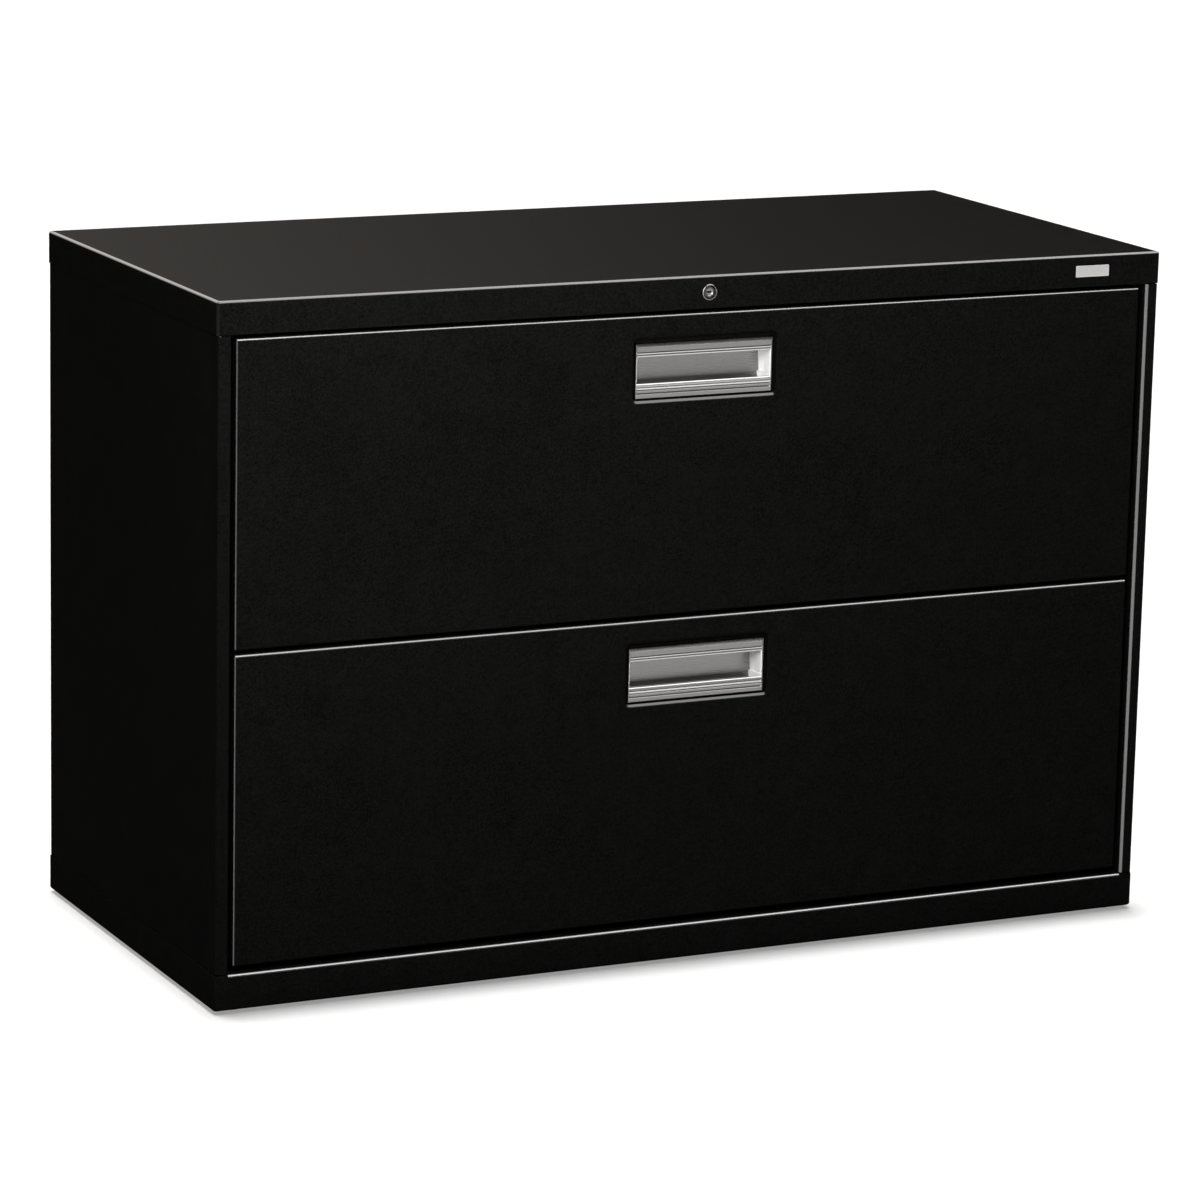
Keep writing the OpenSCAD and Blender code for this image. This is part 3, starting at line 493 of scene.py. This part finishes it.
def drawn_in(size, insets):
    """Rows of sides: one rectangle drawn in by each inset on all four sides."""
    return np.asarray(size) + np.asarray(insets, float)[:, None] * np.array([1, -1, 1, -1])


def bar(low, high, edge=BAR_EDGE):
    """A sheet or bar with its edges broken: four rings, drawn in by the edge at both ends."""
    low = np.asarray(low, float)
    high = np.asarray(high, float)
    level = [low[2], low[2] + edge, high[2] - edge, high[2]]
    sides = drawn_in((low[0], high[0], low[1], high[1]), [edge, 0, 0, edge])
    return skin(rings(sides, edge, level, (0, 1, 2), lead=0, steps=2))


def gathered(*skins):
    """Several skins as one: their points in a row, their faces renumbered to match."""
    starts = np.cumsum([0] + [len(s[0]) for s in skins])
    faces = [[v + start for v in face] for s, start in zip(skins, starts) for face in s[1]]
    return np.concatenate([s[0] for s in skins]), faces, np.concatenate([s[2] for s in skins])


def pierced(one, columns, left, inner_rows, outer_rows):
    """A folded sheet's skin with a hole, where the columns left and left + 1 part on the sheet's two sides.

    Both lists of rows run upwards. The faces between the columns go, and a tube joins the two rims."""
    points, faces, bend = one
    gone = {row * columns + left for rows in (inner_rows, outer_rows)
            for row in range(min(rows), max(rows))}
    rims = [[row * columns + left for row in rows] + [row * columns + left + 1 for row in rows[::-1]]
            for rows in (inner_rows, outer_rows)]
    tube = [[rims[0][k - 1], rims[0][k], rims[1][k], rims[1][k - 1]] for k in range(len(rims[0]))]
    return points, [face for k, face in enumerate(faces) if k not in gone] + tube, bend


def mirrored(one):
    """A skin on the other side of the cabinet."""
    return one[0] * np.array([-1, 1, 1]), one[1], one[2]


print("skin helpers are ready")

# %% A helper that puts a skin into the frame
SHARP_ANGLE = math.radians(35)


def put(name, one, finish, body, slot, *nodes):
    """Makes an object of a skin, turns its faces outwards, and lets it stand for CAD nodes on a body."""
    points, faces, bend = one
    mesh = bpy.data.meshes.new(name)
    mesh.from_pydata(points.tolist(), [], faces)
    work = bmesh.new()
    work.from_mesh(mesh)
    bmesh.ops.recalc_face_normals(work, faces=work.faces)
    work.to_mesh(mesh)
    work.free()
    mesh.attributes.new("bend", "FLOAT", "POINT").data.foreach_set("value", bend.astype(np.float32))
    mesh.shade_smooth()
    mesh.set_sharp_from_angle(angle=SHARP_ANGLE)
    mesh.materials.append(finish)
    piece = bpy.data.objects.new(name, mesh)
    bpy.context.scene.collection.objects.link(piece)
    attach(piece, body)
    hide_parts(*nodes)
    print(name, len(points), "points,", len(faces), "faces")
    return piece


def box_of(node):
    """Lowest and highest corner of a CAD node, as arrays."""
    low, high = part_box(node)
    return np.array(low), np.array(high)


print("edges turn sharp past", round(math.degrees(SHARP_ANGLE)), "degrees")

# %% [markdown]
# ## Cap
# The cap is one sheet with its four flanges folded down and its corners closed. It could be a bevelled
# box, but a bevel makes the corners lumpy. Here the rings climb the flanges, draw in along a quarter
# circle to the top, and the flat top closes them. The lock goes through the apron where two columns of
# points part to a round hole.

# %% Fold the cap
SHEET = 0.001
BEND = 0.003
CORNER = 0.002
APRON_FOLD = 0.013
HOLE_SIDES = 16
HOLE_EASE = 0.00045

low, high = box_of("top_panel")
case_low = low
cap_size = (low[0], high[0], low[1], high[1])
lock_low, lock_high = box_of("lock_barrel")
lock_middle = ((lock_low[0] + lock_high[0]) / 2, (lock_low[2] + lock_high[2]) / 2)
hole_radius = (lock_high[0] - lock_low[0]) / 2 - HOLE_EASE
t = math.pi / HOLE_SIDES * np.arange(1 - HOLE_SIDES // 2, HOLE_SIDES // 2, 2)
hole_level = lock_middle[1] + hole_radius * np.sin(t)

# The rows go down the inside past the hole, round the lower edge, up the outside and over the bend.
draw, rise = quarter(BEND)
lower_edge = low[2] + SHEET / 2 * np.array([1, 0, 1])
inner_rows = np.arange(len(t), 0, -1)
outer_rows = 1 + len(t) + len(lower_edge) + np.arange(len(t))
insets = np.concatenate([[SHEET], SHEET + 0 * t, [SHEET, SHEET / 2, 0], 0 * t, [0], draw, [BEND + LEAD]])
levels = np.concatenate([[high[2] - SHEET], hole_level[::-1], lower_edge, hole_level,
                         [high[2] - BEND - LEAD], high[2] - BEND + rise, [high[2]]])
hole_half = np.full(len(levels), hole_radius * np.cos(t[0]))
hole_half[inner_rows] = hole_radius * np.cos(t)
hole_half[outer_rows] = hole_radius * np.cos(t)
stops = lock_middle[0] + hole_half[:, None] * np.array([-1, 1])
cap_rows = rings(drawn_in(cap_size, insets), CORNER - insets, levels, (0, 1, 2), stops=stops)
print("hole for the lock:", round(2000 * hole_radius, 1), "mm across")

# %% Rub the cap's bends bright
# A bend shines between two angles in degrees. The cap's shine is given for its right, back, left and front.
EDGE_LIT = (20, 40)
CAP_SHINE = (0.3, 0.3, 0.65, 0.82)
CAP_CORNER_SHINE = 0.03
TOP_SHEEN = 0.075

flat_rows = len(levels) - len(draw) - 1
on_bend = np.concatenate([np.zeros(flat_rows), lit_rows(*EDGE_LIT), [0]])
on_top = np.concatenate([np.zeros(flat_rows + len(draw)), [TOP_SHEEN]])
on_wall = np.zeros(len(levels))
on_wall[outer_rows[0] - 1:flat_rows] = 1
cap_shine = (shine(on_bend, *CAP_SHINE, CAP_SHINE[-1:] * 2) + shine(on_top, 1, 1, 1, 1, (1, 1))
             + corner_shine(on_wall, CAP_CORNER_SHINE, (0, 0)))
cap = pierced(skin(cap_rows, cap_shine), cap_shine.shape[1], 3 * (CORNER_STEPS + 3), inner_rows, outer_rows)
fold = bar((low[0] + 3 * SHEET, low[1] + SHEET, low[2]),
           (high[0] - 3 * SHEET, low[1] + SHEET + APRON_FOLD, low[2] + SHEET))
put("cap_shell", gathered(cap, fold), powder_coat, "case", "powder", "top_panel")

# %% [markdown]
# ## Base frame
# The base is a ring of sheet under the case. Its bottom edge is bent in to a flange, and along the front
# its top is bent back under the lower drawer, which draws the lowest bright line between the posts. The
# rings go up the outside, over the top and down the inside, and the last meets the first.

# %% Fold the base frame
BASE_FLANGE = 0.045
BASE_FOLD = 0.017
TOP_LIT = (4, 14)
POST_WIDTH = 0.0143
POST_INSIDE = box_of("right_side_panel")[1][0] - POST_WIDTH

low, high = box_of("base_frame")
base_size = np.array((low[0], high[0], low[1], high[1]))
front_only = np.array([0, 0, 1, 0])
inner_draw, inner_rise = quarter(BEND - SHEET)
outside = drawn_in(base_size, np.concatenate([[BASE_FLANGE, BEND + LEAD], BEND - rise, [0, 0]]))
over_top = base_size + draw[:, None] * front_only
edge = drawn_in(base_size, [SHEET]) + (BEND + LEAD - SHEET) * front_only
under_top = drawn_in(base_size, np.full(len(inner_draw), SHEET)) + inner_draw[::-1, None] * front_only
inside = drawn_in(base_size, [SHEET, BASE_FLANGE])
sides = np.concatenate([outside, over_top, edge, under_top, inside])
levels = np.concatenate([[low[2], low[2]], low[2] + draw, [low[2] + BEND + LEAD, high[2] - BEND - LEAD],
                         high[2] - BEND + rise, [high[2]], high[2] - BEND + inner_rise[::-1],
                         [low[2] + SHEET, low[2] + SHEET]])
over = np.concatenate([np.zeros(4 + len(draw)), lit_rows(*TOP_LIT), np.zeros(3 + len(inner_draw))])
stops = POST_INSIDE * np.array([-1, -1, 1, 1]) + LEAD * np.array([-1, 1, -1, 1])
base_shine = shine(over, 0, 0, 0, 0, (0, 1, 1, 0))
ring = skin(rings(sides, CORNER, levels, (0, 1, 2), stops=stops), base_shine, ring=True)
fold = bar((low[0] + 3 * SHEET, low[1] + BEND, high[2] - SHEET),
           (high[0] - 3 * SHEET, low[1] + SHEET + BASE_FOLD, high[2]))
put("base_shell", gathered(ring, fold), powder_coat, "case", "powder", "base_frame")

# %% [markdown]
# ## Side panels
# A side panel is one sheet too: a wall, a flange at the back, and at the front two bends that make the
# post beside the drawers. The post is a strip carried straight up. Its outline is the bent path, and the
# same path moved in by the sheet's thickness.

# %% Fold the side panels
POST_DEPTH = 0.02
POST_EDGE = 0.0012
POST_SHINE = 0.95
POST_GAP = 0.0008
REAR_FLANGE = 0.015


def bent_post(x, y, width, depth, edge, radius, thick, low_z, high_z):
    """The post on the right: down the outside, round a tight edge, across the front, round a bend and back.

    A path point is p, and n its outward direction; the strip's outline is p, then p - thickness * n,
    backwards."""
    t = np.linspace(0, math.pi / 2, BEND_STEPS + 1)
    first = np.stack([np.cos(t), -np.sin(t)], axis=-1)
    second = np.stack([-np.sin(t), -np.cos(t)], axis=-1)
    right_way = np.array([[1.0, 0.0]])
    front_way = np.array([[0.0, -1.0]])
    left_way = np.array([[-1.0, 0.0]])
    path = np.concatenate([[[x, y + depth], [x, y + edge + LEAD]],
                           np.array([x - edge, y + edge]) + edge * first,
                           [[x - edge - LEAD, y], [x - width + radius + LEAD, y]],
                           np.array([x - width + radius, y + radius]) + radius * second,
                           [[x - width, y + radius + LEAD], [x - width, y + depth]]])
    way = np.concatenate([right_way, right_way, first, front_way, front_way, second, left_way, left_way])
    bend = np.concatenate([np.zeros(len(t) + 4), np.full(len(t), POST_SHINE), [0, 0]])
    outline = np.concatenate([path, (path - thick * way)[::-1]])
    levels = np.array([low_z, high_z])
    grid = np.concatenate([np.broadcast_to(outline, (2, *outline.shape)),
                           np.broadcast_to(levels[:, None, None], (2, len(outline), 1))], axis=-1)
    return skin(grid, np.concatenate([bend, 0 * bend])[None, :])


low, high = box_of("right_side_panel")
base_top = box_of("base_frame")[1][2]
apron_low = case_low[2]
panel_x = high[0]
wall = bar((panel_x - SHEET, low[1] + POST_DEPTH, low[2]), high)
flange = bar((panel_x - REAR_FLANGE, high[1] - SHEET, base_top), (panel_x - SHEET, high[1], apron_low))
post = bent_post(panel_x, low[1], POST_WIDTH, POST_DEPTH, POST_EDGE, BEND, SHEET, base_top + POST_GAP,
                 apron_low - POST_GAP)
right_side = gathered(wall, flange, post)
put("right_side_shell", right_side, powder_coat, "case", "powder", "right_side_panel")
points, faces, bend = mirrored(right_side)
put("left_side_shell", (points, faces, 0 * bend), powder_coat, "case", "powder", "left_side_panel")

# %% [markdown]
# ## Drawer fronts
# A front is a shallow tray with its bends outwards, and in its middle a hole with a turned-in rim for the
# pull. A boolean cut would leave a ragged rim. The rings instead run up the tray's outside, across the
# face into the sloped rim, and back along the inside, so that the hole is just the place where the stack
# turns round. The slope under the pull is rubbed bright by hands, from one corner to the other.

# %% Press the drawer fronts
CUT_WIDTH = 0.163
CUT_HEIGHT = 0.0641
CUT_CORNER = 0.005
CUT_BEND = 0.0026
CUT_SLOPE = 0.0014
RIM_DEPTH = 0.006
PULL_GAP = 0.0016
SLOPE_STEPS = 3
RIM_SHINE = 0.36
RUBBED_LEFT = 4
RUBBED_RIGHT = 3
TOP_SHINE = {"upper": 1.0, "lower": 0.78}
LEFT_SHINE = 0.85


def drawer_front(low, high, cut, top_shine):
    """Skin of one front, from its box, the sides of its cut-out and the shine of its top bend.

    The tray draws in along a quarter circle and the rim along a straight slope. The inside keeps the
    sheet's thickness from both."""
    size = (low[0], high[0], low[2], high[2])
    face, back = low[1], high[1]
    slope = np.linspace(0, 1, SLOPE_STEPS + 1)
    tray_insets = np.concatenate([[0, 0], draw, [BEND + LEAD]])
    tray_levels = np.concatenate([[back, face + BEND + LEAD], face + BEND - rise, [face]])
    rim_insets = -np.concatenate([[CUT_BEND + LEAD], CUT_BEND * (1 - slope),
                                  [0, 0, SHEET, SHEET, CUT_BEND]])
    rim_levels = face + np.concatenate([[0], CUT_SLOPE * slope,
                                        [CUT_SLOPE + LEAD, RIM_DEPTH, RIM_DEPTH, CUT_BEND, SHEET]])
    inner_insets = np.concatenate([[BEND], BEND - inner_rise, [SHEET]])
    inner_levels = np.concatenate([[face + SHEET], face + SHEET + inner_draw, [back]])
    sides = np.concatenate([drawn_in(size, tray_insets), drawn_in(cut, rim_insets),
                            drawn_in(size, inner_insets)])
    corner = np.concatenate([CORNER - tray_insets, CUT_CORNER - rim_insets, CORNER - inner_insets])
    levels = np.concatenate([tray_levels, rim_levels, inner_levels])
    on_top, on_left, on_rim = np.zeros((3, len(levels)))
    on_top[2:2 + len(draw)] = top_shine * lit_rows(*TOP_LIT)[::-1]
    on_left[2:2 + len(draw)] = LEFT_SHINE * lit_rows(*EDGE_LIT)[::-1]
    first_rim = len(tray_insets) + 1
    on_rim[first_rim:first_rim + len(slope)] = RIM_SHINE
    around = np.arange(CORNER_STEPS + 3)
    strip = np.concatenate([0 * around, 0 * around, around > RUBBED_LEFT, around < RUBBED_RIGHT])
    front_shine = shine(on_top, 0, 1, 0, 0) + shine(on_left, 0, 0, 1, 0) + np.outer(on_rim, strip)
    return skin(rings(sides, corner, levels, (0, 2, 1)), front_shine, ring=True)


for drawer in ("upper", "lower"):
    pull_low = box_of(drawer + "_pull")[0]
    cut_low = pull_low[2] - PULL_GAP
    cut = (-CUT_WIDTH / 2, CUT_WIDTH / 2, cut_low, cut_low + CUT_HEIGHT)
    front = drawer_front(*box_of(drawer + "_drawer_front"), cut, TOP_SHINE[drawer])
    put(drawer + "_front_shell", front, powder_coat, drawer + "_drawer", "powder",
        drawer + "_drawer_front")

# %% [markdown]
# ## Pulls
# A pull is a length of extruded aluminium: a finger pocket between two bands with fine grooves. An
# extrusion is one outline carried along, so the work is in the outline. Each band's face is a list of
# points, straight between them: the grooves are V-shaped and go dark inside, and the faces that lean back
# a little catch the light from above. The lip is a quarter of an ellipse, polished by fingers. The
# pocket's back leans, and its corners are arcs.

# %% Draw the pull's outline
WALL = 0.0018
BAND = 0.0024
UPPER_BAND = 0.013
LOWER_BAND = 0.0155
FLOOR_DROP = 0.005
POCKET_LEAN = 0.0035
POCKET_FILLET = 0.0006
LIP_HEIGHT = 0.002
LIP_DEPTH = 0.0014
LIP_START = 0.0005
FACE_STEPS = 250
LIP_STEPS = 16
MILLIMETRE = 0.001
UPPER_FACE = MILLIMETRE * np.array([[0, 0.25], [0.2, 0], [1, 0.36], [1.6, 0.96], [2.56, 0], [2.7, 0],
                                    [3.5, 0.36], [4.1, 0.96], [5.06, 0], [10, 0], [13, 3]])
LOWER_FACE = MILLIMETRE * np.array([[-15.5, 1.0], [-15.1, 0.65], [-11.4, 0.3], [-10.5, 1.2], [-9.5, 0.2],
                                    [-7.6, 0], [-6.8, 0.8], [-6, 0], [-5, 0.45], [-4.4, 0.9], [-3.5, 0],
                                    [-2, 0.5]])


def arc(middle, radius, start, end, steps=8):
    """Points middle + radius * (cos t, sin t), with t from start to end in quarter turns."""
    t = np.linspace(start, end, steps + 1) * math.pi / 2
    return np.asarray(middle) + radius * np.stack([np.cos(t), np.sin(t)], axis=-1)


def band_face(front, level, table):
    """A band's face (y, z): at even heights, its depth behind the front.

    The table's rows are height and depth, and the face is straight between them."""
    rise = np.linspace(table[0, 0], table[-1, 0], FACE_STEPS)
    return np.stack([front + np.interp(rise, table[:, 0], table[:, 1]), level + rise], axis=-1)


def pull_outline(front, back, low, high):
    """Outline (y, z) of the extrusion: lower band, lip, pocket, upper band and the plain outside, in order.

    The second result is 1 on the lip, which is polished."""
    lip = low + LOWER_BAND
    mouth_top = high - UPPER_BAND
    floor_z = lip - FLOOR_DROP
    inner_back = back - WALL - POCKET_FILLET
    inner_top = high - WALL - POCKET_FILLET
    lower_face = band_face(front, lip, LOWER_FACE)
    t = np.linspace(0, math.pi / 2, LIP_STEPS + 1)
    lip_face = np.stack([front + LIP_START + LIP_DEPTH * (1 - np.cos(t)),
                         lip - LIP_HEIGHT * (1 - np.sin(t))], axis=-1)
    pocket = np.concatenate([[[front + BAND, lip], [front + BAND, floor_z]],
                             arc((inner_back - POCKET_LEAN, floor_z + POCKET_FILLET), POCKET_FILLET, -1, 0),
                             arc((inner_back, inner_top), POCKET_FILLET, 0, 1),
                             arc((front + BAND + POCKET_FILLET, inner_top), POCKET_FILLET, 1, 2),
                             [[front + BAND, mouth_top]]])
    upper_face = band_face(front, mouth_top, UPPER_FACE)
    outside = np.array([[back, high], [back, floor_z - WALL], [front + BAND, floor_z - WALL],
                        [front + BAND, low]])
    outline = np.concatenate([lower_face, lip_face[1:], pocket, upper_face, outside])
    polish = np.zeros(len(outline))
    polish[FACE_STEPS:FACE_STEPS + len(t)] = 1
    return outline, polish


print("band faces:", len(UPPER_FACE), "and", len(LOWER_FACE), "points")

# %% Carry the outline along
PULL_STATIONS = 5


def carried_along_x(outline, stations, bend):
    """An outline (y, z) with its bend values, repeated at each x."""
    rows = len(stations)
    x = np.broadcast_to(np.asarray(stations, float)[:, None, None], (rows, len(outline), 1))
    grid = np.concatenate([x, np.broadcast_to(outline, (rows, *outline.shape))], axis=-1)
    return skin(grid, bend[None, :])


for drawer in ("upper", "lower"):
    low, high = box_of(drawer + "_pull")
    outline, polish = pull_outline(low[1], high[1], low[2], high[2])
    stations = np.linspace(low[0], high[0], PULL_STATIONS)
    put(drawer + "_pull_extrusion", carried_along_x(outline, stations, polish), satin_aluminium,
        drawer + "_drawer", "aluminium", drawer + "_pull")

# %% [markdown]
# ## End caps of the pulls
# A cap closes each end of a pull: a thin metal plate outside, and a pale liner that shows in the pocket
# as two upright panels with a step between them, on a low foot. The deeper panel slants inwards. The
# liner's plan is carried up from level to level, and draws out at the foot. An ear on each cap takes the
# screw behind the front.

# %% Mould the end caps
PLATE_THICK = 0.0008
LINER_THICK = 0.0003
LINER_SET = 0.0008
PANEL_STEP = 0.0005
PANEL_SLANT = 0.0034
FOOT_STEP = 0.002
FOOT_DROP = 0.0009
FOOT_HEIGHT = 0.0032
EDGE = 0.0004
EAR_THICK = 0.002
EAR_LENGTH = 0.016
EAR_HEIGHT = 0.024


def end_liner(inner_x, low, high, foot_z):
    """The liner on the right: at each level, a plan of seven points.

    The plan's inner side steps at half its depth, and behind the step it slants inwards to the back. The
    liner ends at half the height of the upper band."""
    middle = (low[1] + high[1]) / 2
    top = high[2] - UPPER_BAND / 2
    levels = np.array([low[2] + EDGE, low[2] + 2 * EDGE, foot_z, foot_z + FOOT_HEIGHT - EDGE,
                       foot_z + FOOT_HEIGHT + EDGE, top - EDGE, top])
    foot = FOOT_STEP * np.array([0, 0, 1, 1, 0, 0, 0])
    still = np.zeros(len(levels))
    front = low[1] + LINER_SET + still
    back = high[1] - EDGE + still
    outer = inner_x + LINER_THICK + still
    plan_x = [outer, outer, inner_x - PANEL_SLANT - foot, inner_x - foot, inner_x - PANEL_STEP - foot,
              inner_x - PANEL_STEP + still, inner_x - PANEL_STEP + EDGE + still]
    plan_y = [front, back, back, middle + EDGE + still, middle + still, front + EDGE, front]
    return skin(np.stack([np.stack(plan_x, axis=1), np.stack(plan_y, axis=1),
                          np.broadcast_to(levels[:, None], (len(levels), len(plan_x)))], axis=-1))


for drawer in ("upper", "lower"):
    low, high = box_of(drawer + "_pull")
    ear_y = box_of(drawer + "_pull_bracket")[1][1]
    ear_z = (low[2] + high[2] - EAR_HEIGHT) / 2
    plate_x = high[0] + LINER_THICK
    liner = end_liner(high[0], low, high, low[2] + LOWER_BAND - FOOT_DROP)
    plate = bar((plate_x, low[1], low[2]), (plate_x + PLATE_THICK, high[1], high[2]))
    ear = bar((plate_x + PLATE_THICK / 2, ear_y, ear_z),
              (plate_x + EAR_LENGTH, ear_y + EAR_THICK, ear_z + EAR_HEIGHT))
    solids = [liner, plate, ear]
    both_ends = gathered(*[s for one in solids for s in (one, mirrored(one))])
    caps = put(drawer + "_pull_caps", both_ends, pale_cap, drawer + "_drawer", "aluminium",
               drawer + "_pull_end_caps")
    caps.data.materials.append(satin_aluminium)
    caps.data.materials.append(powder_coat)
    finish_of = np.repeat(np.arange(len(solids)), [2 * len(one[1]) for one in solids])
    caps.data.polygons.foreach_set("material_index", finish_of.astype(np.int32))

# %% [markdown]
# ## Lock
# The lock's face is a domed nickel ring round a dark plug. The plug is dished round its keyway, and the
# bright dish catches the light on its lower side. A round ring is a ring whose corner radius is nearly
# half its width, so the stack of rings turns from round to slot-shaped inside the dish without another
# tool.

# %% Turn the lock's barrel
ROUND = 0.985
ROUND_STEPS = 10
BORE_GAP = 0.0001
BARREL_STEP = 0.0009
BARREL_SEAT = 0.0002
BORE_EDGE = 0.0004
DOME_TURN = 0.56 * math.pi
DOME_POINTS = 16


def round_rows(radii, levels, middle):
    """Nearly round rings of given radii about a middle (x, z), stacked along y."""
    radii = np.asarray(radii, float)
    sides = np.stack([middle[0] - radii, middle[0] + radii, middle[1] - radii, middle[1] + radii], axis=1)
    return rings(sides, ROUND * radii, levels, (0, 2, 1), lead=0, steps=ROUND_STEPS)


low, high = lock_low, lock_high
bezel = high[0] - lock_middle[0]
plug_low, plug_high = box_of("lock_plug")
plug_radius = plug_high[0] - lock_middle[0]
bore = plug_radius + BORE_GAP
apron_y = case_low[1]
barrel = bezel - BARREL_STEP
t = np.linspace(0, DOME_TURN, DOME_POINTS)
dome_radii = (bezel + bore) / 2 + (bezel - bore) / 2 * np.cos(t)
dome_levels = apron_y - (apron_y - low[1]) * np.sin(t)
radii = np.concatenate([[barrel, barrel], dome_radii, [bore, bore]])
levels = np.concatenate([[high[1], apron_y + BARREL_SEAT], dome_levels,
                         [plug_low[1] + BORE_EDGE, high[1]]])
barrel_skin = skin(round_rows(radii, levels, lock_middle), ring=True)
put("lock_bezel", barrel_skin, nickel, "case", "bright", "lock_barrel")

# %% Turn the plug and cut its keyway
PLUG_EDGE = 0.0004
DISH_RADIUS = 0.0043
DISH_FLOOR = 0.0031
DISH_DEPTH = 0.0011
KEYWAY_LENGTH = 0.0058
KEYWAY_WIDTH = 0.0021
KEYWAY_DEPTH = 0.006
KEYWAY_ROUND = 0.49

face_y = plug_low[1]
down = np.array([0, 0.1, 0.9, 1])
body_radii = [plug_radius, plug_radius, plug_radius - PLUG_EDGE]
body_levels = [plug_high[1], face_y + PLUG_EDGE, face_y]
dish_radii = DISH_RADIUS + down * (DISH_FLOOR - DISH_RADIUS)
dish_levels = face_y + down * DISH_DEPTH
round_part = round_rows([*body_radii, *dish_radii], [*body_levels, *dish_levels], lock_middle)
slot_half = np.array([KEYWAY_LENGTH, KEYWAY_LENGTH, KEYWAY_WIDTH, KEYWAY_WIDTH]) / 2
slot_sides = np.array([lock_middle[0], lock_middle[0], lock_middle[1], lock_middle[1]])
slot_sides = slot_sides + slot_half * np.array([-1, 1, -1, 1])
slot_levels = [face_y + DISH_DEPTH, face_y + DISH_DEPTH + KEYWAY_DEPTH]
slot_part = rings(np.stack([slot_sides, slot_sides]), KEYWAY_ROUND * KEYWAY_WIDTH, slot_levels, (0, 2, 1),
                  lead=0, steps=ROUND_STEPS)
plug = put("lock_plug_face", skin(np.concatenate([round_part, slot_part])), dark_plug, "lock_core", "bright",
           "lock_plug")
plug.data.materials.append(satin_aluminium)
finish_of = np.zeros(len(plug.data.polygons), np.int32)
row_faces = 4 * (ROUND_STEPS + 1)
finish_of[len(body_radii) * row_faces:(len(body_radii) + len(down)) * row_faces] = 1
plug.data.polygons.foreach_set("material_index", finish_of)

# %% [markdown]
# ## Plate
# A small bare plate sits at the right of the apron. It is a stamped sheet with a broken edge and a face
# that is sunk by a hair inside its rim, so that it doesn't look like a printed patch.

# %% Stamp the plate
PLATE_RIM = 0.0006
PLATE_SINK = 0.00015
PLATE_EDGE = 0.0002
PLATE_CORNER = 0.0009

low, high = box_of("name_plate")
plate_size = (low[0], high[0], low[2], high[2])
insets = np.array([0, 0, PLATE_EDGE, PLATE_RIM, PLATE_RIM + PLATE_SINK])
levels = [high[1], low[1] + PLATE_EDGE, low[1], low[1], low[1] + PLATE_SINK]
plate = skin(rings(drawn_in(plate_size, insets), PLATE_CORNER - insets, levels, (0, 2, 1), lead=0))
put("bare_name_plate", plate, bare_plate, "case", "plate", "name_plate")

# %% [markdown]
# ## Pieces that keep their solids
# The works behind the fronts have the right shape in the solids: drawer boxes, uprights, slides, hang
# rails and the lock's bars. They keep their meshes and only take a finish, by the record's material slot.

# %% Finish the carried-over solids
SLOT_FINISH = {"powder": powder_coat, "zinc": zinc_steel, "aluminium": satin_aluminium, "bright": nickel,
               "plate": bare_plate, "weight": cast_iron, "glide": nylon}
slot_of = {part["node"]: part["material_slot"] for part in frame["record"]["subparts"]}
for name, node in frame["nodes"].items():
    node.data.materials.clear()
    node.data.materials.append(SLOT_FINISH[slot_of[name]])
print("finished", len(frame["nodes"]), "solids")

# %% [markdown]
# ## Sizes
# The box round every piece that is shown, the floor left out, is printed. The skins must not make the
# cabinet bigger than its solids.

# %% Print the box round what is shown
low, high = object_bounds()
print("visual box from", tuple(low), "to", tuple(high))
